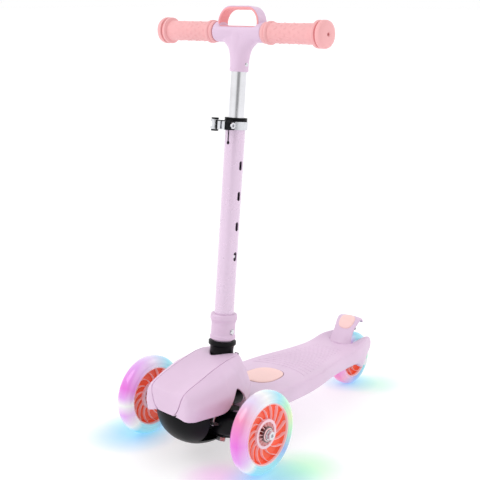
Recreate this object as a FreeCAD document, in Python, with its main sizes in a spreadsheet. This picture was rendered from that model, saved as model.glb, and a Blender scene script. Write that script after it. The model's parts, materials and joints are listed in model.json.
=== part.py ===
import FreeCAD, Part
import math
import os
import re
import Sketcher

# A child's three-wheeled kick scooter that steers by leaning. Millimetres, +Z up, the nose
# points to -Y. Local heights are from the ground under the front axle ("ground" frame),
# along the raked stem ("stem" frame), or from the crossing of a kingpin and the front axle.

DIMENSIONS = {
    # wheels and track
    "front_axle_y": (-168.6, "front axle, from the part's origin"),
    "wheel_radius": (60.0, "front wheel"),
    "wheel_width": (26.0, "front tyre width"),
    "wheel_core_radius": (44.0, "front rim outside"),
    "half_track": (110.0, "middle of the part to the middle of a front wheel"),
    "wheelbase": (368.0, "front axle to rear axle"),
    "rear_radius": (45.0, "rear wheel"),
    "rear_width": (28.0, "rear tyre width"),
    "rear_core_radius": (31.0, "rear rim outside"),
    "bearing_radius": (11.0, "outside of a 608 bearing"),
    "bearing_width": (7.0, "608 bearing"),
    "axle_radius": (4.0, "M8 axles and kingpins"),
    "running": (0.05, "radial clearance of a running fit"),
    # steering
    "kingpin_x": (42.0, "middle of the part to a kingpin"),
    "caster": (20.0, "kingpin lean to the rear, degrees"),
    "boss_radius": (10.0, "knuckle boss round the kingpin"),
    "boss_half": (13.0, "half height of the knuckle boss"),
    "plate_inner": (17.0, "inner face of the carrier plates, from the axle"),
    "plate_outer": (23.0, "outer face of the carrier plates"),
    "arm_end": (49.0, "kingpin to the outer end of the knuckle arm"),
    "tie_y": (-26.0, "kingpin to the tie rod pin"),
    "pin_radius": (2.5, "small pins"),
    # stem
    "stem_y": (36.4, "stem foot behind the front axle"),
    "stem_z": (100.0, "stem foot above the ground"),
    "rake": (5.5, "stem lean to the rear, degrees"),
    "tube_radius": (14.3, "outer tube outside"),
    "tube_bore": (13.0, "outer tube inside"),
    "tube_top": (376.0, "top of the outer tube"),
    "inner_radius": (11.0, "inner tube outside"),
    "inner_bore": (9.6, "inner tube inside"),
    "window_first": (184.5, "lowest height window"),
    "window_pitch": (43.3, "between height windows"),
    "clamp_height": (371.5, "middle of the clamp band"),
    "collar_radius": (17.4, "lower collar outside"),
    "collar_button_at": (74.5, "button in the lower collar"),
    "sleeve_low": (444.0, "bottom of the T-bar sleeve"),
    "bar_button_at": (455.0, "button in the T-bar sleeve"),
    "bar_height": (499.0, "middle of the handlebar"),
    "bar_tube_radius": (9.5, "handlebar tube outside"),
    "tube_start": (38.5, "middle of the part to a handlebar tube's inner end"),
    "bar_arm": (44.0, "middle of the part to the end of a lilac arm"),
    "bar_half": (149.0, "middle of the part to the end of a grip"),
    "grip_radius": (13.8, "grip barrel"),
    "grip_ring": (18.8, "outer rings of a grip"),
    # deck
    "deck_top": (79.0, "deck surface"),
    "deck_bottom": (50.0, "lower edge of the deck"),
    "deck_front": (20.0, "front end of the deck"),
    "deck_rear": (398.0, "rear end of the deck cheeks"),
    "slot_half": (21.0, "half width of the rear wheel slot"),
    "well_radius": (49.0, "wheel well"),
    "cheek_top": (87.0, "top of the rear cheeks"),
    "skin": (3.0, "moulded wall"),
    # brake
    "brake_pin_y": (325.0, "brake hinge pin behind the front axle"),
    "brake_pin_z": (71.0, "brake hinge pin above the ground"),
    "fender_half": (20.0, "half width of the brake fender"),
}

doc = FreeCAD.newDocument("kick_scooter")
sheet = doc.addObject("Spreadsheet::Sheet", "Sheet")
for row, (alias, (amount, meaning)) in enumerate(DIMENSIONS.items(), start=1):
    sheet.set(f"A{row}", meaning)
    sheet.set(f"B{row}", str(amount))
    sheet.setAlias(f"B{row}", alias)
doc.recompute()

X_AXIS = FreeCAD.Vector(1, 0, 0)
Y_AXIS = FreeCAD.Vector(0, 1, 0)
Z_AXIS = FreeCAD.Vector(0, 0, 1)
sub_parts = []


# ---------------------------------------------------------------- tools of the drawing office

def named(text):
    """Point every dimension's word at its cell of the sheet."""
    def cell(match):
        word = match.group(0)
        return "Sheet." + word if word in DIMENSIONS else word
    return re.sub(r"[a-z_][a-z_0-9]*", cell, str(text))


def number(text):
    """The value that an expression has now."""
    return float(sheet.evalExpression(named(text)))


def bind(item, prop, text):
    item.setExpression(prop, named(text))


def hold(sketch, index, kind, text):
    """Hold one corner of an outline at a signed distance from the sketch's origin."""
    if text == "0":
        line = -2 if kind == "DistanceX" else -1
        sketch.addConstraint(Sketcher.Constraint("PointOnObject", index, 1, line))
        return
    place = sketch.addConstraint(Sketcher.Constraint(kind, -1, 1, index, 1, number(text)))
    bind(sketch, f"Constraints[{place}]", text)


def outline(body, role, points, name):
    """A closed outline of straight lines on one of the body's own planes."""
    sketch = body.newObject("Sketcher::SketchObject", name)
    plane = next(item for item in body.Origin.OriginFeatures if item.Role == role)
    sketch.AttachmentSupport = [(plane, "")]
    sketch.MapMode = "FlatFace"
    corners = [FreeCAD.Vector(number(x), number(y), 0) for x, y in points]
    for start, end in zip(corners, corners[1:] + corners[:1]):
        sketch.addGeometry(Part.LineSegment(start, end))
    for index in range(len(corners)):
        after = (index + 1) % len(corners)
        sketch.addConstraint(Sketcher.Constraint("Coincident", index, 2, after, 1))
    for index, (x, y) in enumerate(points):
        hold(sketch, index, "DistanceX", x)
        hold(sketch, index, "DistanceY", y)
    return sketch


def turned(name, points):
    """A body turned about its own Z axis from (radius, height) corners."""
    body = doc.addObject("PartDesign::Body", name)
    sketch = outline(body, "XZ_Plane", points, name + "_profile")
    turn = body.newObject("PartDesign::Revolution", name + "_turn")
    turn.Profile = sketch
    turn.ReferenceAxis = (sketch, ["V_Axis"])
    turn.Angle = 360
    return body


def ring(name, inside, outside, low, high):
    return turned(name, [(inside, low), (outside, low), (outside, high), (inside, high)])


def plate(name, role, points, thickness, low):
    """A body padded from an outline, from a distance along the plane's normal."""
    body = doc.addObject("PartDesign::Body", name)
    sketch = outline(body, role, points, name + "_profile")
    bind(sketch, "AttachmentOffset.Base.z", low)
    pad = body.newObject("PartDesign::Pad", name + "_pad")
    pad.Profile = sketch
    bind(pad, "Length", thickness)
    return body


def box(name, low, high):
    """A box between two corners."""
    item = doc.addObject("Part::Box", name)
    for side, start, end in zip(("Length", "Width", "Height"), low, high):
        bind(item, side, f"({end}) - ({start})")
    for axis, start in zip("xyz", low):
        bind(item, f"Placement.Base.{axis}", start)
    return item


def rod(name, radius, length, base, axis="Z"):
    """A cylinder from a base point along +X, +Y or +Z."""
    item = doc.addObject("Part::Cylinder", name)
    bind(item, "Radius", radius)
    bind(item, "Height", length)
    turns = {"X": FreeCAD.Rotation(Y_AXIS, 90), "Y": FreeCAD.Rotation(X_AXIS, -90), "Z": FreeCAD.Rotation()}
    item.Placement = FreeCAD.Placement(FreeCAD.Vector(), turns[axis])
    for side, start in zip("xyz", base):
        bind(item, f"Placement.Base.{side}", start)
    return item


def hexagon(name, across, length, base, axis="Z"):
    """A hexagonal bolt head or nut, from a base point along +X or +Z."""
    item = doc.addObject("Part::Prism", name)
    item.Polygon = 6
    bind(item, "Circumradius", f"({across}) / sqrt(3)")
    bind(item, "Height", length)
    turn = FreeCAD.Rotation(Y_AXIS, 90) if axis == "X" else FreeCAD.Rotation()
    item.Placement = FreeCAD.Placement(FreeCAD.Vector(), turn)
    for side, start in zip("xyz", base):
        bind(item, f"Placement.Base.{side}", start)
    return item


def fuse(name, items):
    if len(items) == 1:
        return items[0]
    item = doc.addObject("Part::MultiFuse", name)
    item.Shapes = items
    return item


def group(name, items):
    """Separate solids of the same kind that share one sub-part."""
    item = doc.addObject("Part::Compound", name)
    item.Links = items
    return item


def cut(name, base, tools):
    item = doc.addObject("Part::Cut", name)
    item.Base = base
    item.Tool = fuse(name + "_tools", tools)
    return item


def shaped(name, shape):
    """A sub-part whose free-form shape is made with Part's own functions."""
    item = doc.addObject("Part::Feature", name)
    item.Shape = shape
    return item


STEM_TURN = FreeCAD.Rotation(X_AXIS, -number("rake"))
KINGPIN_TURN = FreeCAD.Rotation(X_AXIS, -number("caster"))
ALONG_X = FreeCAD.Rotation(Y_AXIS, 90)
FRAMES = {
    "ground": (("0", "front_axle_y", "0"), FreeCAD.Rotation()),
    "stem": (("0", "front_axle_y + stem_y", "stem_z"), STEM_TURN),
    "bar": (("0", "front_axle_y + stem_y + bar_height * sin(rake * 1deg)",
             "stem_z + bar_height * cos(rake * 1deg)"), STEM_TURN.multiply(ALONG_X)),
    "kingpin_right": (("kingpin_x", "front_axle_y", "wheel_radius"), KINGPIN_TURN),
    "kingpin_left": (("-kingpin_x", "front_axle_y", "wheel_radius"), KINGPIN_TURN),
    "wheel_right": (("half_track", "front_axle_y", "wheel_radius"), ALONG_X),
    "wheel_left": (("-half_track", "front_axle_y", "wheel_radius"), ALONG_X),
    "wheel_rear": (("0", "front_axle_y + wheelbase", "rear_radius"), ALONG_X),
}


def finish(item, label, frame):
    """Give a sub-part its label and put it in its place on the scooter."""
    base, turn = FRAMES[frame]
    item.Label = label
    item.Placement = FreeCAD.Placement(FreeCAD.Vector(), turn)
    for side, start in zip("xyz", base):
        bind(item, f"Placement.Base.{side}", start)
    sub_parts.append(item)
    return item


# ---------------------------------------------------------------- front and rear wheels

def wheel(name, radius, width, core, rear=False):
    """Tyre, core, lights and bearings of one wheel, turned about Z and centred on it."""
    half = f"({width}) / 2"
    shoulder = "3" if rear else "5"
    tyre = turned(name + "_tyre", [
        (core, f"-{half}"), (f"{radius} - 9", f"-{half}"), (f"{radius} - {shoulder}", f"-{half} + 3"),
        (f"{radius} - 1", f"-{half} + 8"), (radius, f"-{half} + 12"), (radius, f"{half} - 12"),
        (f"{radius} - 1", f"{half} - 8"), (f"{radius} - {shoulder}", f"{half} - 3"),
        (f"{radius} - 9", half), (core, half)])
    finish(tyre, f"{name}_tyre", name)
    hub = "bearing_radius + 4"
    rim = f"{core} - 4"
    core_turned = turned(name + "_core_body", [
        ("bearing_radius", f"-{half} + 2"), (hub, f"-{half} + 2"), (hub, "-4"), (rim, "-4"),
        (rim, f"-{half} + 1"), (core, f"-{half} + 1"), (core, f"{half} - 1"), (rim, f"{half} - 1"),
        (rim, "4"), (hub, "4"), (hub, f"{half} - 2"), ("bearing_radius", f"{half} - 2")])
    windows = []
    for index in range(7):
        angle = 2 * math.pi * index / 7
        middle = (number(hub) + number(rim)) / 2
        window = rod(f"{name}_vent_{index}", f"({rim} - bearing_radius - 4) / 4", "8",
                     (str(middle * math.cos(angle)), str(middle * math.sin(angle)), "-4"))
        windows.append(window)
    finish(cut(name + "_core", core_turned, windows), f"{name}_core", name)
    if not rear:
        lights = ring(name + "_lights", f"{hub} + 2", f"{hub} + 6", "4", "8")
        finish(lights, f"{name}_light_ring", name)
    outer = f"{half} - 2"
    bearings = [ring(f"{name}_bearing_{side}", "axle_radius + running", "bearing_radius", low, high)
                for side, low, high in (("in", f"-({outer})", f"-({outer}) + bearing_width"),
                                        ("out", f"{outer} - bearing_width", outer))]
    finish(group(name + "_bearings", bearings), f"{name}_bearings", name)


wheel("wheel_right", "wheel_radius", "wheel_width", "wheel_core_radius")
wheel("wheel_left", "wheel_radius", "wheel_width", "wheel_core_radius")
wheel("wheel_rear", "rear_radius", "rear_width", "rear_core_radius", rear=True)


def spacer(name, width):
    """The tube between a wheel's two bearings; it stays on the axle."""
    reach = f"({width}) / 2 - 2 - bearing_width - 0.2"
    return ring(name, "axle_radius", "6", f"-({reach})", reach)


# ---------------------------------------------------------------- steering knuckles

def knuckle(side):
    """One steering knuckle: boss round the kingpin, arm to the wheel and steering arm."""
    sign = 1 if side == "right" else -1
    near, far = ("6", "arm_end") if sign == 1 else ("-arm_end", "-6")
    name = f"knuckle_{side}"
    tie_fit = "pin_radius + running" if side == "right" else "pin_radius + 0.6"
    boss = rod(name + "_boss", "boss_radius", "2 * boss_half", ("0", "0", "-boss_half"))
    arm = box(name + "_arm", (near, "-10", "-10"), (far, "10", "10"))
    lever_arm = box(name + "_steer", ("-5.5", "tie_y - 5", "-3"), ("5.5", "-5", "3"))
    solid = fuse(name + "_solid", [boss, arm, lever_arm])
    start = "22" if sign == 1 else "-arm_end - 1"
    bores = [
        rod(name + "_bore", "axle_radius + running", "2 * boss_half + 2", ("0", "0", "-boss_half - 1")),
        rod(name + "_axle_bore", "axle_radius", "arm_end - 21", (start, "0", "0"), "X"),
        rod(name + "_pin_bore", tie_fit, "8", ("0", "tie_y", "-4"))]
    finish(cut(name, solid, bores), name, f"kingpin_{side}")


def axle_bolt(side):
    """The bolt that holds a front wheel: head outside, shank in the knuckle arm."""
    sign = 1 if side == "right" else -1
    name = f"axle_bolt_{side}"
    outer = "wheel_width / 2 - 1.6"
    inner = "-(half_track - kingpin_x - 23)"
    shank = rod(name + "_shank", "axle_radius", f"{outer} - ({inner})", ("0", "0", inner))
    flange = rod(name + "_flange", "7", "1.4", ("0", "0", outer))
    head = hexagon(name + "_head", "11.5", "5", ("0", "0", f"{outer} + 1.4"))
    socket = hexagon(name + "_socket", "5", "4", ("0", "0", f"{outer} + 3.4"))
    bolt = cut(name, fuse(name + "_solid", [shank, flange, head]), [socket])
    finish(bolt, name, f"wheel_{side}")
    if sign == -1:
        bolt.Placement = FreeCAD.Placement(bolt.Placement.Base, FreeCAD.Rotation(Y_AXIS, -90))


def hub_spacers(side):
    """The tube between the bearings and the washer between arm and inner bearing."""
    low, high = "-wheel_width / 2 + 2 - 7.8", "-wheel_width / 2 + 1.8"
    washer = ring(f"hub_washer_{side}", "axle_radius", "8", low, high)
    pieces = [washer, spacer(f"spacer_{side}", "wheel_width")]
    spacers = finish(group(f"hub_spacer_set_{side}", pieces), f"hub_spacers_{side}", f"wheel_{side}")
    if side == "left":
        turn = FreeCAD.Rotation(Y_AXIS, -90)
        spacers.Placement = FreeCAD.Placement(spacers.Placement.Base, turn)


for hand in ("right", "left"):
    knuckle(hand)
    axle_bolt(hand)
    hub_spacers(hand)

tie_low, tie_high = "-7.4", "-3.4"
bar = box("tie_bar", ("-7", "tie_y - 5", tie_low), ("2 * kingpin_x + 7", "tie_y + 5", tie_high))
finish(cut("tie_rod", bar, [
    rod("tie_hole_left", "pin_radius", "6", ("0", "tie_y", "-8.4")),
    rod("tie_hole_right", "pin_radius", "6", ("2 * kingpin_x", "tie_y", "-8.4"))]),
    "tie_rod", "kingpin_left")

# ---------------------------------------------------------------- steering carrier

# The carrier is drawn in the left kingpin's frame, so "middle" is the scooter's centre line.
middle = "kingpin_x"
upper_plate = box("upper_plate", ("-11", "-11", "plate_inner"), ("2 * kingpin_x + 11", "12", "plate_outer"))
lower_plate = box("lower_plate", ("-11", "-11", "-plate_outer"), ("2 * kingpin_x + 11", "12", "-plate_inner"))
core_block = box("core_block", (f"{middle} - 24", "-10", "-plate_outer"), (f"{middle} + 24", "12", "plate_outer"))
kingpin_holes = [rod(f"kingpin_hole_{index}", "axle_radius", "60", (place, "0", "-30"))
                 for index, place in enumerate(("0", "2 * kingpin_x"))]
finish(cut("carrier", fuse("carrier_solid", [upper_plate, lower_plate, core_block]), kingpin_holes),
       "steering_carrier", "kingpin_left")


def kingpin_set(label, make):
    """Two identical pieces, one at each kingpin, in one sub-part."""
    pieces = [make(f"{label}_{index}") for index in range(2)]
    holder = group(label + "_set", pieces)
    bind(pieces[1], "Placement.Base.x", "2 * kingpin_x")
    finish(holder, label, "kingpin_left")


def kingpin(name):
    """A kingpin bolt with its nut under the lower plate."""
    shank = rod(name + "_shank", "axle_radius", "2 * plate_outer + 7", ("0", "0", "-plate_outer - 7"))
    head = hexagon(name + "_head", "13", "5", ("0", "0", "plate_outer"))
    hexagonal = hexagon(name + "_hex", "13", "6.4", ("0", "0", "-plate_outer - 6.4"))
    bore = rod(name + "_bore", "axle_radius", "9", ("0", "0", "-plate_outer - 8"))
    return group(name, [fuse(name + "_bolt", [shank, head]), cut(name + "_nut", hexagonal, [bore])])


def tie_pin(name):
    """A headed pin, fast in the tie rod, that turns in a steering arm."""
    pin = turned(name + "_turned", [
        ("0", "4.5"), ("4", "4.5"), ("4", "3.3"), ("pin_radius", "3.3"), ("pin_radius", "-8"),
        ("2", "-9"), ("0", "-9")])
    raised = group(name + "_placed", [pin])
    bind(raised, "Placement.Base.y", "tie_y")
    return group(name, [raised])


def centring_bush(name):
    rings = [ring(f"{name}_{place}", "axle_radius + 0.3", "8.5", low, high)
             for place, low, high in (("upper", "boss_half + 0.3", "plate_inner"),
                                      ("lower", "-plate_inner", "-boss_half - 0.3"))]
    return group(name, rings)


kingpin_set("kingpins", kingpin)
kingpin_set("tie_pins", tie_pin)
kingpin_set("centring_bushes", centring_bush)

# The spine carries the deck and the stem socket behind the steering carrier.
def leaning(name, item):
    """Put a tool that is drawn at the kingpins into the ground frame."""
    holder = group(name, [item])
    holder.Placement = FreeCAD.Placement(FreeCAD.Vector(), KINGPIN_TURN)
    bind(holder, "Placement.Base.z", "wheel_radius")
    return holder


SCREW_PLACES = (("-14", "62"), ("14", "62"), ("-14", "100"), ("14", "100"))
spine_block = box("spine_block", ("-22", "2", "deck_bottom - 14"), ("22", "112", "deck_bottom"))
spine_cuts = [rod(f"spine_hole_{index}", "2.6", "20", (x, y, "deck_bottom - 16"))
              for index, (x, y) in enumerate(SCREW_PLACES)]
spine_cuts.append(leaning("carrier_room", box("carrier_space", ("-60", "-60", "-60"), ("60", "12", "60"))))
finish(cut("spine", spine_block, spine_cuts), "chassis_spine", "ground")


def deck_screws():
    """Four screws from below that hold the deck to the spine."""
    screws = []
    for index, (x, y) in enumerate(SCREW_PLACES):
        screw = turned(f"deck_screw_{index}", [
            ("0", "deck_bottom - 17"), ("4.5", "deck_bottom - 17"), ("4.5", "deck_bottom - 14"),
            ("2.6", "deck_bottom - 14"), ("2.6", "deck_bottom - 0.5"), ("0", "deck_bottom - 0.5")])
        bind(screw, "Placement.Base.x", x)
        bind(screw, "Placement.Base.y", y)
        screws.append(screw)
    finish(group("deck_screw_set", screws), "deck_screws", "ground")


deck_screws()


# ---------------------------------------------------------------- stem and its clamp

finish(turned("socket_turned", [
    ("tube_radius + 0.1", "4"), ("tube_radius + 0.1", "60"), ("18.5", "60"), ("20", "59"),
    ("20", "54.5"), ("17.4", "52"), ("16.8", "46"), ("17.2", "38"), ("20", "26"), ("26", "12"), ("29", "2"),
    ("29", "-7"), ("0", "-7"), ("0", "4")]), "stem_socket", "stem")
spigot = ring("spigot_turned", "11.2", "tube_bore - 0.1", "4", "104")
finish(cut("spigot_cut", spigot, [rod("spigot_hole", "4.1", "30", ("0", "0", "collar_button_at"), "X")]),
       "stem_spigot", "stem")


def window(name, middle_at, half_height, radius):
    """A slot with round ends through the +X wall of a tube."""
    lower = rod(name + "_low", radius, "30", ("0", "0", f"{middle_at} - {half_height} + {radius}"), "X")
    upper = rod(name + "_high", radius, "30", ("0", "0", f"{middle_at} + {half_height} - {radius}"), "X")
    body = box(name + "_mid", ("0", f"-({radius})", f"{middle_at} - {half_height} + {radius}"),
               ("30", radius, f"{middle_at} + {half_height} - {radius}"))
    return fuse(name, [lower, upper, body])


outer_body = ring("outer_tube_turned", "tube_bore", "tube_radius", "5", "tube_top")
outer_cuts = [window(f"window_{index}", f"window_first + {index} * window_pitch", "6.5", "3.2")
              for index in range(4)]
outer_cuts += [
    rod("outer_collar_hole", "4.25", "30", ("0", "0", "collar_button_at"), "X"),
    box("clamp_slit", ("-1.2", "-20", "tube_top - 30"), ("1.2", "0", "tube_top + 1")),
    rod("slit_end", "2.6", "20", ("0", "-20", "tube_top - 30"), "Y")]
finish(cut("outer_tube_cut", outer_body, outer_cuts), "outer_tube", "stem")

collar = turned("collar_turned", [
    ("tube_radius", "62.5"), ("18", "62.5"), ("18.6", "63.5"), ("18.6", "67"),
    ("collar_radius", "69"), ("collar_radius", "86"), ("18.2", "89"),
    ("19.5", "92"), ("19.5", "97"), ("18.2", "99.5"), ("tube_radius", "99.5")])
finish(cut("collar_cut", collar, [rod("collar_hole", "4.4", "30", ("0", "0", "collar_button_at"), "X")]),
       "lower_collar", "stem")

finish(turned("guide_turned", [
    ("inner_radius + running", "tube_top - 34"), ("tube_bore", "tube_top - 34"), ("tube_bore", "tube_top"),
    ("16", "tube_top"), ("16", "tube_top + 5"), ("inner_radius + running", "tube_top + 5")]),
    "tube_guide", "stem")
band_low, band_high = "clamp_height - 7", "tube_top - 0.2"
band = fuse("band_solid", [
    ring("band_ring", "tube_radius", "tube_radius + 2.6", band_low, band_high),
    box("band_ear_left", ("-6.5", "-31", band_low), ("-1.5", "-13", band_high)),
    box("band_ear_right", ("1.5", "-31", band_low), ("6.5", "-13", band_high))])
finish(cut("band_cut", band, [
    box("band_slit", ("-1.5", "-40", "clamp_height - 9"), ("1.5", "0", "tube_top + 2")),
    rod("band_bore", "tube_radius", "30", ("0", "0", "clamp_height - 15")),
    rod("band_bolt_hole", "pin_radius", "20", ("-10", "-23", "clamp_height - 1"), "X")]),
    "clamp_band", "stem")

bolt_at = "clamp_height - 1"
bolt_shank = rod("clamp_bolt_shank", "pin_radius", "29.5", ("-17.5", "-23", bolt_at), "X")
bolt_head = rod("clamp_bolt_head", "4.4", "3.6", ("12", "-23", bolt_at), "X")
bolt_drive = hexagon("clamp_bolt_drive", "4", "3", ("13.6", "-23", bolt_at), "X")
finish(cut("clamp_bolt_cut", fuse("clamp_bolt_solid", [bolt_shank, bolt_head]), [bolt_drive]),
       "clamp_bolt", "stem")


def clamp_block(label, low, high):
    """A square pad with a bolt hole, between an ear and the bolt head or the lever."""
    block = box(label + "_block", (low, "-29.5", "clamp_height - 7.3"), (high, "-16.5", "clamp_height + 5.3"))
    hole = rod(label + "_hole", "pin_radius", f"({high}) - ({low}) + 2", (f"{low} - 1", "-23", bolt_at), "X")
    finish(cut(label + "_cut", block, [hole]), label, "stem")


clamp_block("clamp_pad", "6.5", "12")
clamp_block("cam_washer", "-11.5", "-6.5")
barrel = rod("barrel_rod", "4", "14", ("-18.5", "-23", "clamp_height - 8"))
finish(cut("barrel_cut", barrel, [rod("barrel_hole", "pin_radius", "8", ("-18", "-23", bolt_at), "X")]),
       "lever_barrel", "stem")

paddle_profile = [("-25", "-23"), ("-20", "-17.2"), ("-19.2", "-8"), ("-18.6", "6"), ("-20.5", "20"),
                  ("-23.5", "28"), ("-26", "27"), ("-23.5", "16"), ("-22.8", "4"), ("-23.6", "-10")]
paddle = plate("paddle", "XY_Plane", paddle_profile, "10", "clamp_height - 6")
cheeks = [rod(f"cheek_{place}", "6.2", "3", ("-18.5", "-23", low))
          for place, low in (("low", "clamp_height - 7.5"), ("high", "clamp_height + 2.5"))]
lever_solid = fuse("lever_solid", [paddle] + cheeks)
finish(cut("lever_cut", lever_solid, [
    rod("lever_bore", "4 + running", "20", ("-18.5", "-23", "clamp_height - 12")),
    box("lever_fork", ("-30", "-32", "clamp_height - 4.5"), ("-10", "-16.4", "clamp_height + 2.5"))]),
    "clamp_lever", "stem")
caps = [rod(f"cap_{place}", "5.2", "2", ("-18.5", "-23", low))
        for place, low in (("low", "clamp_height - 10.2"), ("high", "clamp_height + 6.2"))]
finish(group("cap_set", caps), "lever_caps", "stem")

# ---------------------------------------------------------------- telescopic T-bar

inner_top = "bar_height - bar_tube_radius - 0.5"
inner_body = ring("inner_tube_turned", "inner_bore", "inner_radius", "window_first - 20", inner_top)
finish(cut("inner_tube_cut", inner_body, [
    rod("inner_low_hole", "3.1", "20", ("0", "0", "window_first"), "X"),
    rod("inner_high_hole", "3.1", "20", ("0", "0", "bar_button_at"), "X")]), "inner_tube", "stem")
finish(turned("plug_turned", [
    ("0", "window_first - 24"), ("tube_bore - 0.2", "window_first - 24"),
    ("tube_bore - 0.2", "window_first - 20"), ("inner_bore", "window_first - 20"),
    ("inner_bore", "window_first - 8"), ("0", "window_first - 8")]), "inner_tube_plug", "stem")


def snap_button(label, at, hole, tip):
    """A sprung button: flange inside the tube, domed tip out through its hole."""
    body = turned(label + "_turned", [
        ("0", "4.5"), (f"{hole} + 1.4", "4.5"), (f"{hole} + 1.4", "6"), (f"{hole} - 0.06", "6"),
        (f"{hole} - 0.06", f"{tip} - 1.4"), (f"{hole} - 1", f"{tip} - 0.3"), (f"{hole} - 2.2", tip),
        ("0", tip)])
    turned_on = group(label + "_turned_on", [body])
    turned_on.Placement = FreeCAD.Placement(FreeCAD.Vector(), ALONG_X)
    bind(turned_on, "Placement.Base.z", at)
    finish(group(label + "_set", [turned_on]), label, "stem")


def clip(name, at, wall):
    """The V of spring strip that pushes a button out, bent round against the far wall."""
    strip = plate(name + "_strip", "XZ_Plane", [
        ("0.9", "-2.4"), ("0.9", "14"), ("-2", "17"), (f"-{wall} + 1.6", "15.5"), (f"-{wall}", "12"),
        (f"-{wall}", "-6"), (f"-{wall} + 0.7", "-6"), (f"-{wall} + 0.7", "12"),
        (f"-{wall} + 2.2", "14.8"), ("-2.2", "16.2"), ("0.2", "13.6"), ("0.2", "-2.4")], "5", "-2.5")
    raised = group(name + "_raised", [strip])
    bind(raised, "Placement.Base.z", at)
    return raised


snap_button("collar_button", "collar_button_at", "4.1", "19")
snap_button("height_button", "window_first", "3.1", "12.8")
snap_button("bar_button", "bar_button_at", "3.1", "14.4")
finish(group("stem_clip_set", [clip("collar_clip", "collar_button_at", "10.6")]), "collar_clip", "stem")
finish(group("bar_clip_set", [clip("height_clip", "window_first", "9"),
                              clip("bar_clip", "bar_button_at", "9")]), "bar_clips", "stem")

sleeve = turned("sleeve_turned", [
    ("inner_radius", "sleeve_low"), ("13.2", "sleeve_low"), ("13.8", "sleeve_low + 1.5"),
    ("13.2", "sleeve_low + 4"), ("13.6", "sleeve_low + 22"), ("14.6", "sleeve_low + 32"),
    ("15.4", "bar_height"), ("14", "bar_height + 8"), ("10", "bar_height + 11"),
    ("inner_radius - 2", "bar_height + 11"), ("inner_radius - 2", inner_top), ("inner_radius", inner_top)])
gusset = plate("gusset", "XZ_Plane", [
    ("14", "sleeve_low + 20"), ("16", "sleeve_low + 30"), ("19", "sleeve_low + 36"),
    ("24", "sleeve_low + 41"), ("32", "bar_height - 12"), ("32", "bar_height + 8"),
    ("-32", "bar_height + 8"), ("-32", "bar_height - 12"), ("-24", "sleeve_low + 41"),
    ("-19", "sleeve_low + 36"), ("-16", "sleeve_low + 30"), ("-14", "sleeve_low + 20")], "22", "-11")
arms = rod("arms", "14", "2 * bar_arm", ("-bar_arm", "0", "bar_height"), "X")


def loop_outline(grow):
    """Half of the carry loop's arch, from the right foot over the top, grown outwards."""
    corners = []
    for step in range(0, 13):
        angle = math.radians(90 * step / 12)
        corners.append((f"16 + (17.5 + {grow}) * {round(math.cos(angle), 4)}",
                        f"bar_height + 12 + (19 + {grow}) * {round(math.sin(angle), 4)}"))
    return corners


def loop_band(name, inner, outer, depth, low):
    """The arch of the carry loop between two offsets of its opening."""
    right_out = loop_outline(outer)
    right_in = loop_outline(inner)
    left_out = [(f"-({x})", z) for x, z in reversed(right_out)]
    left_in = [(f"-({x})", z) for x, z in reversed(right_in)]
    points = [(right_out[0][0], low)] + right_out + left_out + [(left_out[-1][0], low)]
    points += [(left_in[-1][0], low)] + list(reversed(left_in)) + list(reversed(right_in))
    points += [(right_in[0][0], low)]
    return plate(name, "XZ_Plane", points, depth, f"-({depth}) / 2")


loop_floor = "bar_height + 7"
loop = loop_band("loop_outer", "2.4", "4.4", "18", "bar_height + 2")
liner = loop_band("loop_inner", "0", "2.4", "18", loop_floor)
liner_room = loop_band("liner_room", "-1", "2.4", "18", loop_floor)
right_edge = loop_outline("0")
left_edge = [(f"-({x})", z) for x, z in reversed(right_edge)]
opening = plate("loop_opening", "XZ_Plane", [(right_edge[0][0], loop_floor)] + right_edge + left_edge
                + [(left_edge[-1][0], loop_floor)], "40", "-20")
bores = [rod("right_bore", "bar_tube_radius", "bar_arm - tube_start + 1", ("tube_start", "0", "bar_height"), "X"),
         rod("left_bore", "bar_tube_radius", "bar_arm - tube_start + 1", ("-bar_arm - 1", "0", "bar_height"), "X")]
t_bar = fuse("t_bar_solid", [sleeve, gusset, arms, loop])
finish(cut("t_bar_cut", t_bar, bores + [
    opening, liner_room,
    rod("t_bore", "inner_radius", "200", ("0", "0", "bar_height - 200 - bar_tube_radius - 0.5")),
    rod("t_button_hole", "3.4", "30", ("0", "0", "bar_button_at"), "X")]), "t_bar_body", "stem")
finish(liner, "loop_liner", "stem")
finish(group("bar_tubes", [ring("right_tube", "8", "bar_tube_radius", "tube_start", "bar_half - 12"),
                           ring("left_tube", "8", "bar_tube_radius", "-bar_half + 12", "-tube_start")]),
       "handlebar_tube", "bar")


def grip(side):
    """A rubber grip: inner flange, barrel, two outer rings and a closed end with a bore."""
    body = turned(f"grip_{side}_turned", [
        ("bar_tube_radius", "bar_arm"), ("14.6", "bar_arm"), ("14.6", "bar_arm + 6"),
        ("16", "bar_arm + 6.6"), ("16", "bar_arm + 10.4"), ("grip_radius", "bar_arm + 11.5"),
        ("grip_radius + 0.4", "bar_half - 19"), ("grip_ring - 1", "bar_half - 17.5"),
        ("grip_ring", "bar_half - 15.5"), ("grip_ring", "bar_half - 13"), ("grip_ring - 1.6", "bar_half - 11.8"),
        ("grip_ring", "bar_half - 10.4"), ("grip_ring", "bar_half - 4"), ("grip_ring - 1.4", "bar_half - 1.4"),
        ("grip_ring - 6", "bar_half"), ("pin_radius", "bar_half"), ("pin_radius", "bar_half - 10"),
        ("0", "bar_half - 10"), ("0", "bar_half - 11.8"), ("bar_tube_radius", "bar_half - 11.8")])
    finish(body, f"grip_{side}", "bar")
    if side == "left":
        turn = STEM_TURN.multiply(FreeCAD.Rotation(Y_AXIS, -90))
        body.Placement = FreeCAD.Placement(body.Placement.Base, turn)


grip("right")
grip("left")


# ---------------------------------------------------------------- deck

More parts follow.
